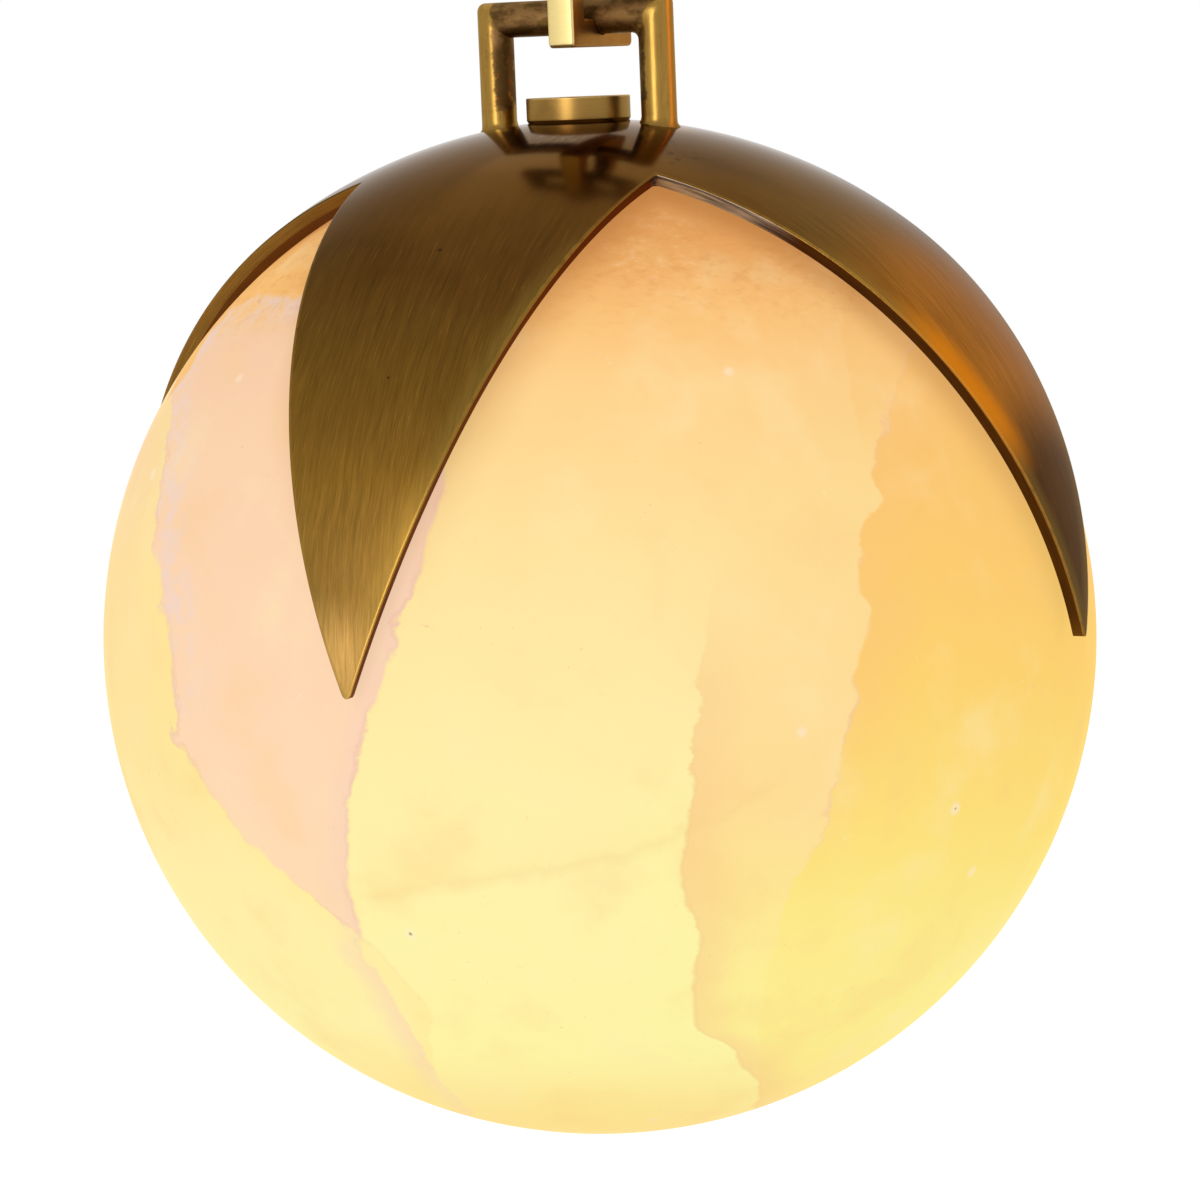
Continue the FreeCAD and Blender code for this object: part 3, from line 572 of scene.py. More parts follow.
def aged_brass_finish():
    """Brushed brass gone brown, worn pale along the petals' edges.

    Paler round the collar and feet, partly polish and partly a painted reflection of the legs and collar;
    its shades by height and in spots are painted light, shade and reflection.
    """
    finish = Finish("aged_brass", (112, 80, 32), 0.3, 1.0, Specular_Tint=(0.69, 0.61, 0.54, 1.0))
    x, y, z, fine, broad = petal_brushing(finish)
    brushed = z.step(152.0, 116.0)
    clouds = finish.noise(42.0, 4.0, 0.55)
    # Painted light and shade: shades by height, then spots of painted light, shade and reflection.
    colour = by_height(z + (clouds - 0.5) * 50.0, CAP_SHADES)
    for centre, reach, soft, amount, shade in CAP_PAINTED_SPOTS:
        colour = colour.tint(finish.within(centre, reach, soft) * amount, *shade)
    lines = (fine - 0.5) * 1.2 + (broad - 0.5) * 0.6
    colour = finish.vectors("MULTIPLY", colour, lines * brushed + (clouds - 0.5) * 0.5 + 1.0)
    colour = colour.tint(fine.step(0.62, 0.76) * brushed * 0.35, 158, 124, 58)

    foot = finish.maths("SQRT", (abs(x) - ROD_HALF_SPAN) ** 2.0 + y * y)
    axis = finish.maths("SQRT", x * x + y * y)
    patches = finish.noise(6.0, 3.0) * 5.0
    grime = (foot - 6.3).line(1.3) + (axis - 16.2).line(0.8)
    streaks = finish.noise(1.0, 4.0, 0.6, at=finish.stretched(1.2, 0.2, 0.2))
    scuffs = finish.within((9.0, -36.0, 152.0), 4.0, 14.0) * streaks.step(0.48, 0.6)
    dashes = finish.cells(2.2, at=finish.stretched(0.6, 0.6, 1.4))
    pits = dashes.step(0.36, 0.26) * finish.within((43.0, -31.0, 148.0), 8.0, 6.0)
    dents = finish.cells(24.0).step(0.036, 0.022)

    margin, cut = finish.mark("margin"), finish.mark("cut")
    worn = finish.noise(3.0, 4.0, 0.65)
    rubbed = margin.step(7.0, 1.0) * z.step(132.0, 100.0) * x.step(-30.0, 0.0)
    # A painted reflection of orange light along the inner edge of the petal towards +X.
    orange = margin.step(14.0, 3.0) * finish.within((133.0, -16.0, 81.0), 12.0, 24.0)
    to_east = (x + y).step(-4.0, 4.0)
    edge_wear = (margin + worn * 1.2).step(1.0, 0.55) * (z.step(138.0, 114.0) * 0.4 + 0.15)
    colour = colour.tints(
        # Paler rings round the feet and the collar: partly polish, partly painted reflections of the legs
        # and collar.
        ((foot + patches).step(19.0, 9.0) * 0.6, 178, 142, 68),
        ((axis + patches).step(27.0, 19.0) * 0.5, 160, 126, 62),
        (grime * 0.7, 48, 32, 16),
        (scuffs * 0.3, 160, 140, 112),
        ((pits + dents) * 0.75, 44, 24, 12),
        (rubbed * 0.3, 132, 108, 48),
        (orange * 0.8, 206, 122, 8),
        (edge_wear * (to_east * 0.3 + 0.7), 150, 116, 48),
    )

    face = cut.step(0.06, 0.14)
    filed = finish.noise(1.0, 4.0, 0.6, at=finish.vector(cut * 4.0, z * 0.07, x * 0.05))
    front_faces = x.step(-2.0, 4.0) * y.step(2.0, -4.0)
    yellow_brown = finish.colours(filed, (84, 56, 20), (150, 110, 48))
    red_brown = finish.colours(filed, (68, 36, 16), (122, 66, 26))
    dark_brown = finish.colours(filed, (54, 36, 18), (96, 64, 28))
    painted_sheen_grey = finish.colours(filed.step(0.35, 0.65), (104, 112, 124), (196, 208, 224))
    # In the front gap the cut faces take painted light and shade: the west face red-brown, the east face
    # dark brown.
    face_colour = finish.colours(front_faces * (1.0 - to_east), yellow_brown, red_brown)
    face_colour = finish.colours(front_faces * to_east, face_colour, dark_brown)
    # A painted grey sheen on the east cut face near the gap's root.
    steel = finish.within((56.0, -41.0, 140.0), 16.0, 24.0) * front_faces * to_east
    colour = finish.colours(face, colour, finish.colours(steel, face_colour, painted_sheen_grey))
    lip = (cut + worn * 0.1).step(0.22, 0.12) * face * z.step(138.0, 110.0)
    colour = colour.tint(lip * 0.6, 190, 110, 30)
    rough = z.step(152.0, 112.0) * 0.19 + (fine - 0.5) * 0.1 + 0.12 + face * 0.15
    dips = (1.0 - (pits + dents)) * (fine * brushed * 0.5 + 0.5)
    return finish.made(colour, rough, finish.bump(dips, 0.03, 0.35))


def turned_brass_finish():
    """Turned brass: fine rings from the tool, a dark seam at each piece's foot, and dulled patches."""
    finish = Finish("turned_brass", (156, 122, 64), 0.28, 1.0, Specular_Tint=(0.85, 0.76, 0.6, 1.0))
    x, y, z = finish.parts()
    rings = finish.noise(1.0, 4.0, 0.7, at=finish.vector(x * 0.02, y * 0.02, z * 4.5))
    patches = finish.noise(9.0, 4.0)
    seam = (z - COLLAR_SEAT - 0.4).line(1.1) + (z - LOOP_HEAD - 3.0).line(1.0)
    worn = (z - COLLAR_TOP + 0.15).line(0.5) + (z - STEM_TOP + 0.3).line(0.6)
    colour = finish.colours(rings, (126, 94, 44), (160, 126, 66)).tints(
        (patches.step(0.5, 0.75) * 0.4, 112, 80, 38),
        (seam * 0.55, 52, 34, 18),
        (worn * 0.5, 214, 180, 116),
    )
    return finish.made(colour, rings * 0.12 + patches * 0.1 + 0.24, finish.bump(rings, 0.01, 0.2))


def rod_brass_finish():
    """Drawn rod: rubbed bright outside, oxidised dark and rough on the inner sides of its bends.

    An orange stripe down one side of the right leg is a painted reflection of the orange lamp.
    """
    finish = Finish("rod_brass", (148, 114, 54), 0.26, 1.0, Specular_Tint=(0.85, 0.76, 0.6, 1.0))
    x, y, z = finish.parts()
    drawn = finish.noise(1.0, 3.0, at=finish.vector(x * 1.8, y * 1.8, z * 0.12))
    blotches = finish.noise(1.0, 6.0, 0.64, at=finish.stretched(0.16, 0.3, 0.26))
    inner_leg = (ROD_HALF_SPAN - abs(x)).step(-0.5, 2.5) * z.step(154.0, 164.0)
    from_middle = abs(z - (YOKE_BAR + LOOP_HEAD) / 2)
    under_bar = from_middle.step(38.5, 35.0) * abs(x).step(30.0, 22.0)
    aged = (inner_leg + under_bar + (blotches - 0.5) * 1.6).step(0.5, 1.0)
    colour = finish.colours(drawn, (130, 98, 42), (168, 132, 64))
    colour = colour.tint(blotches.step(0.55, 0.75) * 0.35, 108, 76, 34)
    oxide = finish.colours(blotches.step(0.36, 0.66), (56, 35, 19), (124, 92, 56))
    on_leg = from_middle.step(44.0, 48.0) * z.step(226.0, 220.0)
    reddish = finish.noise(2.0, 4.0, 0.6).step(0.58, 0.66) * inner_leg * on_leg
    oxide = oxide.tints((on_leg * 0.8, 50, 31, 15), (reddish * 0.5, 128, 60, 22))
    # A painted reflection of the orange lamp, down the outer side of the right leg.
    painted_orange_side = ((x - ROD_HALF_SPAN) * 0.894 + y * 0.448).step(2.7, 3.8) * z.step(205.0, 195.0)
    colour = finish.colours(aged * 0.88, colour, oxide).tints(
        (painted_orange_side * x.step(20.0, 24.0) * 0.8, 152, 100, 28),
        (z.step(157.0, 153.0) * 0.5, 84, 58, 26),
    )
    rough = aged * 0.16 + blotches * 0.14 + 0.23
    return finish.made(colour, rough, finish.bump(blotches, 0.06, aged * 0.5 + 0.12))


def link_brass_finish():
    """The link, brushed across its ends, with hand-rounded bright edges.

    Its pale gold outer ends and browner sides are painted light and shade.
    """
    finish = Finish("link_brass", (226, 204, 142), 0.3, 1.0, Specular_Tint=(0.75, 0.62, 0.48, 1.0))
    x, y, z = finish.parts()
    brushed = finish.noise(1.0, 4.0, 0.65, at=finish.vector(x * 0.25, y * 0.25, z * 3.0))
    patches = finish.noise(6.0, 4.0)
    sides = abs(y).step(LINK_HALF_DEPTH - 0.3, LINK_HALF_DEPTH - 1.3)
    # Painted light and shade: pale gold on the lit outer ends, brown on the shaded faces.
    ends = finish.colours(brushed, (206, 182, 116), (224, 204, 142))
    brown = finish.colours(patches, (108, 64, 24), (160, 104, 46))
    colour = finish.colours(sides, ends, brown.tint(brushed * 0.18, 190, 146, 84))
    edge = (abs(x - LINK_PLACE) - LINK_BAR / 2 + 0.25).line(0.4) * sides
    colour = colour.tints((edge * 0.3, 216, 180, 112), (patches.step(0.6, 0.8) * 0.4, 140, 104, 56))
    return finish.made(colour, brushed * 0.14 + 0.3, finish.bump(brushed, 0.01, 0.2))


def hidden_finish(name, low, high, size, roughness, metallic, glow=(1.0, 1.0, 1.0, 1.0), strength=0.0):
    """A plainer finish for what the globe and the cap hide: two shades, clouded, with a fine roughness."""
    finish = Finish(name, high, roughness, metallic, Emission_Color=glow, Emission_Strength=strength)
    clouds = finish.noise(size, 5.0, 0.6)
    grain = finish.noise(size * 0.1, 3.0)
    rough = clouds * 0.12 + grain * 0.08 + roughness - 0.1
    return finish.made(finish.colours(clouds, low, high), rough, finish.bump(grain, 0.02, 0.3))


FINISHES = {
    "alabaster": alabaster_finish(),
    "aged_brass": aged_brass_finish(),
    "turned_brass": turned_brass_finish(),
    "rod_brass": rod_brass_finish(),
    "link_brass": link_brass_finish(),
}
# What the globe and the cap hide: darker and lighter shade, clouds' size, roughness, metallic, and glow.
HIDDEN_LOOKS = {
    "zinc_steel": ((150, 154, 156), (206, 208, 206), 7.0, 0.32, 1.0),
    "seal_rubber": ((26, 26, 27), (48, 47, 46), 5.0, 0.7, 0.0),
    "white_plastic": ((214, 210, 202), (238, 235, 228), 12.0, 0.4, 0.0),
    "nickel": ((168, 164, 154), (206, 202, 192), 6.0, 0.24, 1.0),
    "bulb_glass": ((248, 240, 222), (255, 250, 238), 20.0, 0.3, 0.0, (*linear(255, 226, 168), 1.0), 0.8),
}
for slot, look in HIDDEN_LOOKS.items():
    FINISHES[slot] = hidden_finish(slot, *look)


def dress_nodes():
    """Gives every CAD node the finish of its slot."""
    slots = {entry["node"]: entry["material_slot"] for entry in frame["record"]["subparts"]}
    for name, node in frame["nodes"].items():
        node.data.materials.clear()
        node.data.materials.append(FINISHES[slots[name]])


# ---- the globe
def make_globe():
    """The alabaster globe, turned: a sphere's outline, a flat lip with eased edges, and the inner sphere's.

    Its margin is how far a point lies inside the gap between two petals, in millimetres.
    """
    inner = GLOBE_RADIUS - GLOBE_WALL
    lip_angle = math.degrees(math.acos(LIP_RADIUS / GLOBE_RADIUS))
    inner_angle = math.degrees(math.acos(OPENING_RADIUS / inner))
    lip = math.sqrt(GLOBE_RADIUS ** 2 - LIP_RADIUS ** 2)
    ease = 0.8
    profile = np.concatenate([
        arc((0, 0), GLOBE_RADIUS, -90, lip_angle - 0.4, 170),
        [(LIP_RADIUS - 0.5, lip), (LIP_RADIUS - 2.0, lip), (OPENING_RADIUS + ease, lip)],
        arc((OPENING_RADIUS + ease, lip - ease), ease, 90, 180, 5),
        arc((0, 0), inner, inner_angle, -90, 60),
    ])
    profile[0, 0] = profile[-1, 0] = 0.0
    points = turned(profile, columns=288)
    polar = np.arctan2(np.hypot(points[..., 0], points[..., 1]), points[..., 2])
    off_gap = np.abs(np.mod(np.arctan2(points[..., 1], points[..., 0]), 2 * HALF_PETAL) - HALF_PETAL)
    gap = gap_angle(np.minimum(polar, math.pi / 2), CAP_INSIDE, 0.0)
    margin = (gap - off_gap) * GLOBE_RADIUS * np.sin(polar)
    piece("alabaster_globe", [(marked(points, margin), False, True)], "pendant", "alabaster", ["globe"],
          marks=["margin"])


# ---- the petalled cap
# Places on a petal's worn edge: how far in from the cut, and how far under the outer surface.
EDGE_LINES = [(0.9, 0.0), (0.5, 0.0), (0.25, 0.07), (0.07, 0.25), (0.0, 0.5), (0.0, 1.0), (0.0, CAP_PLATE)]
ACROSS = np.linspace(-1.0, 1.0, 41)
TIP_ROWS = [0.0, 0.05, 0.16, 0.36, 0.7, 1.1]
TIP_BLUNTNESS = 0.9
FAR_INSIDE = 30.0


def gap_angle(polar, radius, inset):
    """Half the angle of the gap between two petals at a polar angle on a sphere, in radians.

    The cut is a circle's arc swept along a sloping line. A point's distance from the arc's axis, less the
    arc's radius, is its depth in the petal, and halving finds where that is the inset.
    """
    low, high = np.zeros_like(polar), np.full_like(polar, HALF_PETAL)
    for _ in range(50):
        middle = (low + high) / 2
        out = radius * np.sin(polar)
        sideways = out * np.sin(middle)
        down = radius * np.cos(polar) * math.cos(GAP_TILT) - out * np.cos(middle) * math.sin(GAP_TILT)
        depth = np.hypot(sideways - GAP_ARC_ACROSS, down - GAP_ARC_DOWN) - GAP_ARC_RADIUS - inset
        low, high = np.where(depth < 0, middle, low), np.where(depth < 0, high, middle)
    return (low + high) / 2


def gap_root(radius, inset):
    """The polar angle at which the two edges of a gap meet on a sphere."""
    down = GAP_ARC_DOWN + math.sqrt((GAP_ARC_RADIUS + inset) ** 2 - GAP_ARC_ACROSS ** 2)
    return math.acos(down / radius) - GAP_TILT


def make_cap():
    """The brass dome with its petals: for each petal two sheets, outer and inner, two edges and a tip.

    A sheet's rows run from side to side, each at one polar angle, and above the gaps they meet the next
    petal's. Close to the tip their width follows an ellipse, so that the point is blunt.
    """
    length = CAP_OUTSIDE * (math.pi / 2 - gap_root(CAP_OUTSIDE, 0.5))
    tip_share = 1 - np.array(TIP_ROWS) / length
    share = np.concatenate([np.linspace(0, tip_share[-1], 112), tip_share[-2::-1]])
    below = np.clip(TIP_ROWS[-1] - (1 - share) * length, 0, None)
    rounding = np.sqrt(1 - TIP_BLUNTNESS * (below / TIP_ROWS[-1]) ** 2)
    polar, half = [], []
    for inset, depth in EDGE_LINES:
        radius = CAP_OUTSIDE - depth
        root, tip = gap_root(radius, inset), math.acos(TIP_HEIGHT / radius)
        rows = root + (tip - root) * share
        gap = gap_angle(rows, radius, inset)
        gap[0] = 0.0
        polar.append(rows)
        half.append((HALF_PETAL - gap) * rounding)
    grids = []
    outer_rows = np.linspace(math.asin(COLLAR_RADIUS / CAP_OUTSIDE), polar[0][0], 26)
    inner_rows = np.linspace(math.asin(CAP_NUT_LAND / CAP_INSIDE), polar[-1][0], 20)
    nut_seat = CAP_INSIDE * math.cos(inner_rows[0])
    inward = 1 - np.abs(ACROSS)
    margins = [width[:, None] * inward * CAP_OUTSIDE * np.sin(rows)[:, None]
               for rows, width in ((polar[0], half[0]), (polar[-1], half[-1]))]
    above = [(HALF_PETAL * inward * np.sin(rows)[:, None] + (rows[-1] - rows)[:, None]) * CAP_OUTSIDE
             for rows in (outer_rows, inner_rows)]
    depths = np.array([depth for inset, depth in EDGE_LINES]) / CAP_PLATE
    for number in range(PETALS):
        middle = number * 2 * HALF_PETAL
        outer = on_sphere(CAP_OUTSIDE, polar[0][:, None], middle + ACROSS * half[0][:, None])
        inner = on_sphere(CAP_INSIDE, polar[-1][:, None], middle + ACROSS * half[-1][:, None])
        top_outer = on_sphere(CAP_OUTSIDE, outer_rows[:, None], middle + ACROSS * HALF_PETAL)
        top_inner = on_sphere(CAP_INSIDE, inner_rows[:, None], middle + ACROSS * HALF_PETAL)
        top_outer[-1], top_inner[-1] = outer[0], inner[0]
        hole = on_sphere(TUBE_HOLE, math.pi / 2, middle + ACROSS * HALF_PETAL)
        hole_top, hole_foot = hole + (0, 0, top_outer[0, 0, 2]), hole + (0, 0, nut_seat)
        seat = np.stack([top_outer[0], hole_top, hole_foot, top_inner[0]])
        tip = np.stack([outer[-1], inner[-1]])
        grids += [marked(outer, margins[0], 0.0), marked(inner, margins[1], 1.0),
                  marked(top_outer, above[0], 0.0), marked(top_inner, above[1], 1.0),
                  marked(seat, FAR_INSIDE, 0.0), marked(tip, 0.0, [[0.0], [1.0]])]
        for sign, end in ((-1, 0), (1, -1)):
            side = np.stack([on_sphere(CAP_OUTSIDE - depth, rows, middle + sign * width)
                             for (inset, depth), rows, width in zip(EDGE_LINES, polar, half)], axis=1)
            side[:, 0], side[:, -1] = outer[:, end], inner[:, end]
            closing = np.stack([side[-1], np.broadcast_to((side[-1, 0] + side[-1, -1]) / 2, side[-1].shape)])
            grids += [marked(side, 0.0, depths), marked(closing, 0.0, depths)]
    piece("brass_cap", [(grid, False, False) for grid in grids], "pendant", "aged_brass", ["petal_cap"],
          marks=["margin", "cut"])


# ---- collar and boss
def make_collar():
    """The turned collar: eased top and foot, and the cable inlet down to the threaded tube's top."""
    ease = 0.35
    profile = np.concatenate([
        [(TUBE_RADIUS, COLLAR_SEAT), (COLLAR_RADIUS - 0.9, COLLAR_SEAT - 0.05)],
        [(COLLAR_RADIUS - 0.5, COLLAR_SEAT)],
        arc((COLLAR_RADIUS - ease, COLLAR_SEAT + 0.9), ease, -60, 0, 4),
        arc((COLLAR_RADIUS - ease, COLLAR_TOP - ease), ease, 0, 90, 6),
        [(COLLAR_RADIUS - 1.6, COLLAR_TOP), (INLET_RADIUS + 1.4, COLLAR_TOP)],
        arc((INLET_RADIUS + ease, COLLAR_TOP - ease), ease, 90, 180, 5),
        [(INLET_RADIUS, COLLAR_TOP - 1.2), (INLET_RADIUS, COLLAR_TOP - INLET_DEPTH),
         (TUBE_RADIUS, COLLAR_TOP - INLET_DEPTH), (TUBE_RADIUS, COLLAR_SEAT)],
    ])
    grid = turned(profile, columns=128)
    piece("turned_collar", [(grid, False, True)], "pendant", "turned_brass", ["cable_collar"])


def make_boss():
    """The boss on the stem loop: eased edges, and an M10 thread of fine ridges down from its top face."""
    ease = 0.6
    down = np.arange(0, 11.2, 0.5)
    ridges = THREAD_RADIUS + 0.12 * (np.arange(len(down)) % 2) - 0.06
    thread = np.stack([ridges, STEM_TOP - 0.4 - down], axis=-1)
    profile = np.concatenate([
        [(0, LOOP_HEAD), (BOSS_RADIUS - 1.2, LOOP_HEAD)],
        arc((BOSS_RADIUS - ease, LOOP_HEAD + ease), ease, -90, 0, 6),
        arc((BOSS_RADIUS - ease, STEM_TOP - ease), ease, 0, 90, 6),
        [(THREAD_RADIUS + 0.9, STEM_TOP)],
        thread,
        [(THREAD_RADIUS, STEM_TOP - THREAD_DEPTH), (0, STEM_TOP - THREAD_DEPTH)],
    ])
    grid = turned(profile, columns=96)
    piece("turned_boss", [(grid, False, True)], "hanger", "turned_brass", ["stem_boss"])


# ---- rods bent square
BEND_POINTS = 9
ROD_SECTION = turned([(ROD_RADIUS, 0.0)], columns=48)[0, :, :2]
FOOT_SINK = 0.4
BRAZE_HEIGHT = 2.2
BRAZE_SPREAD = 0.2


def bent_line(corners, bends, spacing):
    """A line of straight runs in even steps, with a rounded corner at each bend.

    Each corner is (across, up), and a bend's arc starts and ends its radius away from a square corner.
    A ring has as many runs as corners, and an open line one less.
    """
    corners = np.asarray(corners, float)
    count = len(corners)
    turn = np.linspace(0, math.pi / 2, BEND_POINTS)[:, None]
    arcs = []
    for number, (corner, radius) in enumerate(zip(corners, bends)):
        if len(spacing) < count and number in (0, count - 1):
            arcs.append(corner[None])
            continue
        to_before, to_after = corners[number - 1] - corner, corners[(number + 1) % count] - corner
        to_before, to_after = to_before / np.linalg.norm(to_before), to_after / np.linalg.norm(to_after)
        centre = corner + radius * (to_before + to_after)
        arcs.append(centre - radius * (to_after * np.cos(turn) + to_before * np.sin(turn)))
    line = [arcs[0]]
    for number, steps in enumerate(spacing):
        start, after = arcs[number][-1], arcs[(number + 1) % count]
        run = start + (after[0] - start) * np.linspace(0, 1, steps + 2)[1:-1, None]
        line += [run, after] if number < count - 1 else [run]
    return np.concatenate(line)


def carried(section, course, spacing):
    """A section carried along bends: a line of (across, aside, up) for each of its points.

    A point of the section is (out, aside): its place in the plane of the bends, and across it.
    Its course is the corners and bends of its line.
    """
    lines = []
    for out, aside in section:
        line = bent_line(*course(out, aside), spacing)
        lines.append(np.insert(line, 1, aside, axis=1))
    return np.stack(lines, axis=1)


def oblong(reach, foot, head, bend):
    """The corners and bends of a closed oblong."""
    return [(-reach, foot), (reach, foot), (reach, head), (-reach, head)], [bend] * 4


def mitre(out):
    """The rounding of a mitred corner, from 0.35 mm inside the bend to 2.25 mm outside."""
    return 0.35 + 1.9 * (1 + out / ROD_RADIUS) / 2


def make_yoke():
    """The yoke: the rod carried over an arch whose right corner is rounder inside.

    Its feet follow the dome, sunk into it a little, and widen where they are brazed.
    """
    def arch(out, aside):
        reach, top = ROD_HALF_SPAN + out, YOKE_BAR + out
        foot = math.sqrt((CAP_OUTSIDE - FOOT_SINK) ** 2 - reach ** 2 - aside ** 2)
        corners = [(-reach, foot), (-reach, top), (reach, top), (reach, foot)]
        return corners, [0, mitre(out), 2.6 - 0.25 * (1 + out / ROD_RADIUS), 0]

    grid = carried(ROD_SECTION, arch, [24, 30, 24])
    axis_x = np.sign(grid[..., 0]) * ROD_HALF_SPAN
    above = np.clip(np.linalg.norm(grid, axis=-1) - CAP_OUTSIDE + FOOT_SINK, 0, None)
    flare = 1 + BRAZE_SPREAD * np.clip(1 - above / BRAZE_HEIGHT, 0, 1) ** 2.2
    grid[..., 0] = np.where(above < BRAZE_HEIGHT, axis_x + (grid[..., 0] - axis_x) * flare, grid[..., 0])
    grid[..., 1] = grid[..., 1] * flare
    feet = [np.broadcast_to(grid[end].mean(axis=0), grid[end].shape) for end in (0, -1)]
    grid = np.concatenate([feet[0][None], grid, feet[1][None]])
    piece("bent_yoke", [(grid, False, True)], "pendant", "rod_brass", ["yoke"], 50.0)


def make_stem_loop():
    """The stem loop: the yoke's rod carried round a closed oblong."""
    def course(out, aside):
        return oblong(ROD_HALF_SPAN + out, LOOP_FOOT - out, LOOP_HEAD + out, mitre(out))

    grid = carried(ROD_SECTION, course, [30, 18, 30, 18])
    piece("bent_stem_loop", [(grid, True, True)], "hanger", "rod_brass", ["stem_loop"], 50.0)


def make_link():
    """The link: a square section with rounded edges carried round an oblong, thinned where rods lie in it.

    Over a saddle the bar is squeezed, so that its inner face follows the circle of the saddle.
    """
    side, edge = LINK_BAR / 2, 0.9
    quarter = arc((side - edge, side - edge), edge, 0, 90, 6)
    turns = [np.array([[c, s], [-s, c]]) for c, s in ((1, 0), (0, 1), (-1, 0), (0, -1))]

    def course(out, aside):
        return oblong(LINK_HALF_DEPTH - side + out, LINK_FOOT + side - out, LINK_HEAD - side + out,
                      0.5 + (1 + out / side) / 2)

    section = np.concatenate([quarter @ turn for turn in turns])
    grid = carried(section, course, [70, 20, 70, 20])[..., [1, 0, 2]] + (LINK_PLACE, 0, 0)
    y, z = grid[..., 1], grid[..., 2]
    groove = np.sqrt(np.clip(SADDLE_RADIUS ** 2 - y ** 2, 0, None))
    foot_top, head_foot = LINK_FOOT + LINK_BAR, LINK_HEAD - LINK_BAR
    low_share = np.clip(np.minimum(YOKE_BAR - groove, foot_top) - LINK_FOOT, 0, None) / LINK_BAR
    high_share = np.clip(LINK_HEAD - np.maximum(LOOP_FOOT + groove, head_foot), 0, None) / LINK_BAR
    inside = np.abs(y) < SADDLE_RADIUS
    z = np.where(inside & (z < foot_top + 1), LINK_FOOT + (z - LINK_FOOT) * low_share, z)
    z = np.where(inside & (z > head_foot - 1), LINK_HEAD - (LINK_HEAD - z) * high_share, z)
    grid[..., 2] = z
    piece("square_link", [(grid, True, True)], "link", "link_brass", ["link"], 50.0)


make_globe()
make_cap()
make_collar()
make_boss()
make_yoke()
make_stem_loop()
make_link()
dress_nodes()


# ---- stage, light and camera
GLOBE_CENTRE = Vector((0.0, 0.0, -STEM_TOP * MM))
WORLD_LIGHT = 0.55
FLOOR_WHITE = 0.9
FLOOR_BELOW = 0.42
FLOOR_HALF = 4.0
LAMP_DISTANCE = 1.6
LAMP_WEST = (-0.02, -1.0, 0.2)
LAMP_EAST = (0.8, 0.35, 0.38)
LAMP_TOP = (0.0, 0.3, 1.0)


def seen_directly(nodes):
    """1 for what the camera, a reflection or glass sees, and 0 for light that falls on things."""
    camera = nodes.node("ShaderNodeLightPath", {}, {}, "Is Camera Ray")
    mirror, glass = camera.out("Is Glossy Ray"), camera.out("Is Transmission Ray")
    return nodes.maths("MAXIMUM", nodes.maths("MAXIMUM", camera, mirror), glass)


def make_backdrop():
    """A white background all round, at a strength of 1 where it is seen and less where it lights things."""
    world = bpy.data.worlds.new("studio")
    bpy.context.scene.world = world
    world.use_nodes = True
    nodes = Nodes(world.node_tree)
    background = world.node_tree.nodes["Background"]
    background.inputs["Color"].default_value = (1.0, 1.0, 1.0, 1.0)
    sockets = {"Value": seen_directly(nodes), "To Min": WORLD_LIGHT, "To Max": 1.0}
    nodes.feed(background.inputs["Strength"], nodes.node("ShaderNodeMapRange", {}, sockets))


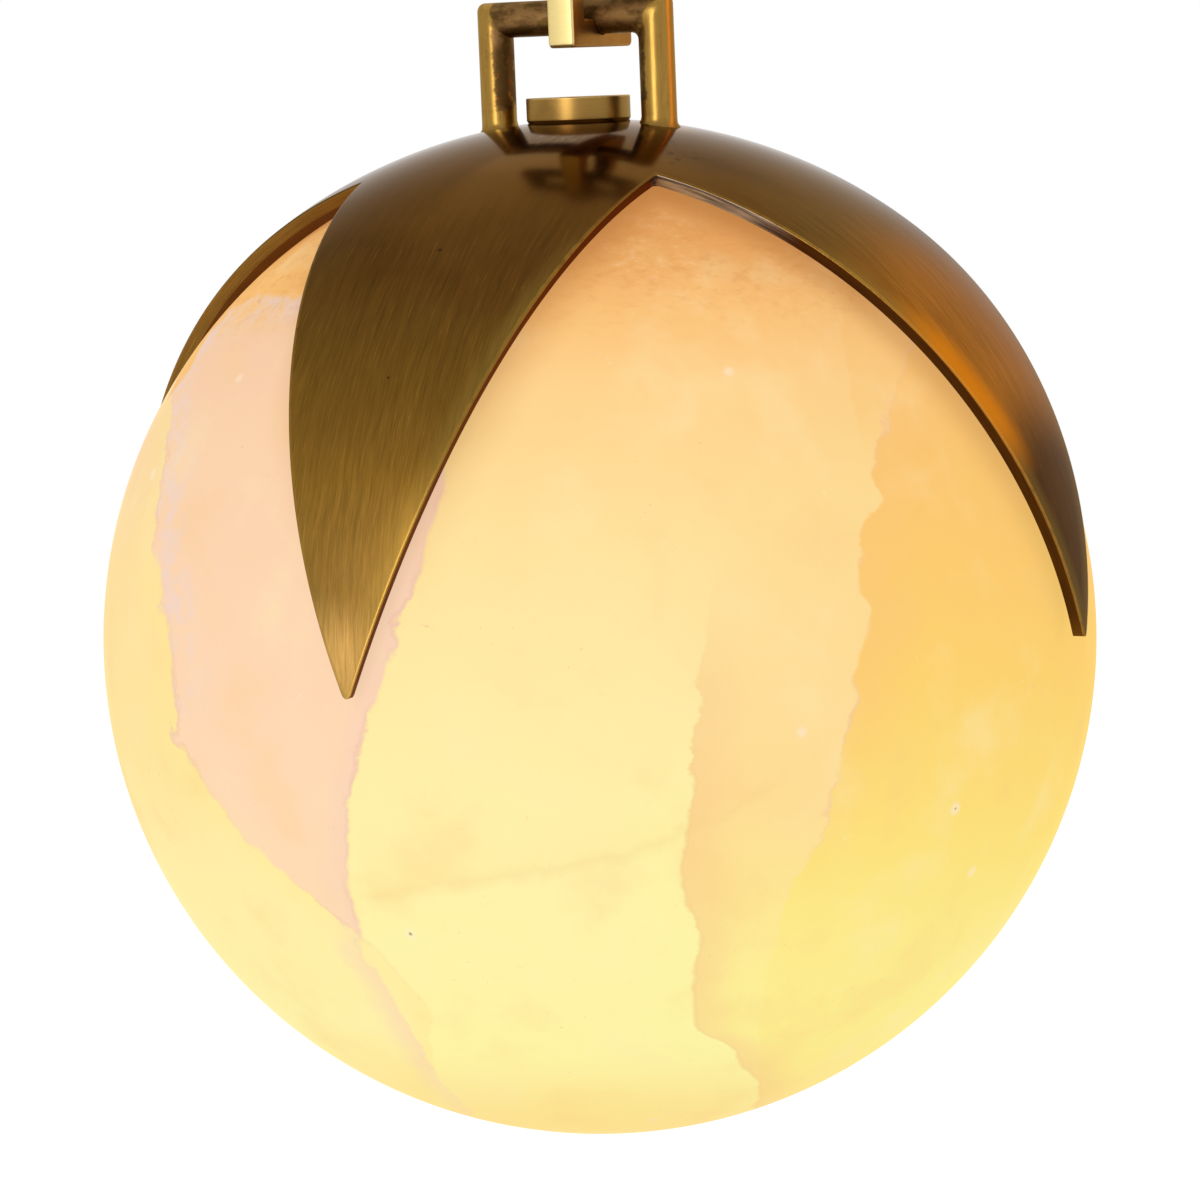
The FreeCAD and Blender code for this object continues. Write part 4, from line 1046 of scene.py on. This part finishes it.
def make_floor():
    """A pale plain floor under the hanging globe, lifted to white where it is seen outside the shadow.

    The camera sees through it from below, so that the globe's underside can be looked at.
    """
    material = bpy.data.materials.new("pale_floor")
    material.use_nodes = True
    nodes = Nodes(material.node_tree)
    shader = material.node_tree.nodes["Principled BSDF"]
    looks = {"Base Color": (FLOOR_WHITE, FLOOR_WHITE, FLOOR_WHITE, 1.0), "Roughness": 0.9,
             "Emission Color": (1.0, 1.0, 1.0, 1.0),
             "Emission Strength": seen_directly(nodes) * (1.0 - FLOOR_WHITE * WORLD_LIGHT)}
    for name, value in looks.items():
        nodes.feed(shader.inputs[name], value)
    below = nodes.node("ShaderNodeNewGeometry", {}, {}, "Backfacing")
    below = below * nodes.node("ShaderNodeLightPath", {}, {}, "Is Camera Ray")
    clear = nodes.node("ShaderNodeBsdfTransparent", {}, {})
    mixed = nodes.node("ShaderNodeMixShader", {}, {0: below, 1: Field(nodes, shader.outputs[0]), 2: clear})
    nodes.feed(material.node_tree.nodes["Material Output"].inputs["Surface"], mixed)
    height = -STEM_TOP * MM - FLOOR_BELOW
    corners = [(x * FLOOR_HALF, y * FLOOR_HALF, height) for x, y in ((-1, -1), (1, -1), (1, 1), (-1, 1))]
    mesh = bpy.data.meshes.new("floor")
    mesh.from_pydata(corners, [], [(0, 1, 2, 3)])
    mesh.materials.append(material)
    linked("floor", mesh)


def area_light(name, towards, size, power, colour=(1.0, 1.0, 1.0)):
    """A soft lamp that points at the globe, in a direction of its own from it."""
    place = GLOBE_CENTRE + LAMP_DISTANCE * Vector(towards).normalized()
    light = bpy.data.lights.new(name, "AREA")
    light.shape = "RECTANGLE"
    light.size, light.size_y = size
    light.energy = power
    light.color = colour
    obj = linked(name, light)
    obj.location = place
    obj.rotation_mode = "QUATERNION"
    obj.rotation_quaternion = (GLOBE_CENTRE - place).to_track_quat("-Z", "Y")


def make_camera():
    """The photograph's view: a long lens a little above the globe's middle, rolled slightly."""
    azimuth, elevation, roll, lift = [math.radians(a) for a in (26.6, 7.13, 2.34, 0.463)]
    distance = 1.3875
    back = Vector((math.sin(azimuth) * math.cos(elevation), -math.cos(azimuth) * math.cos(elevation),
                   math.sin(elevation)))
    right = Vector((0.0, 0.0, 1.0)).cross(back).normalized()
    up = back.cross(right)
    right, up = (right * math.cos(roll) - up * math.sin(roll), up * math.cos(roll) + right * math.sin(roll))
    place = GLOBE_CENTRE + back * distance
    up, back = up * math.cos(lift) + back * math.sin(lift), back * math.cos(lift) - up * math.sin(lift)
    camera = bpy.data.cameras.new("camera")
    camera.sensor_width = 36.0
    camera.lens = 137.0
    camera.clip_start, camera.clip_end = 0.01, 50.0
    obj = linked("camera", camera)
    obj.matrix_world = Matrix.Translation(place) @ Matrix((right, up, back)).transposed().to_4x4()
    bpy.context.scene.camera = obj


make_backdrop()
make_floor()
area_light("west_softbox", LAMP_WEST, (0.6, 1.0), 9.0)
area_light("east_softbox", LAMP_EAST, (0.45, 1.3), 4.5, (1.0, 0.4, 0.06))
area_light("top_softbox", LAMP_TOP, (1.8, 1.8), 4.0)
make_camera()
bpy.context.scene.view_settings.view_transform = "Standard"
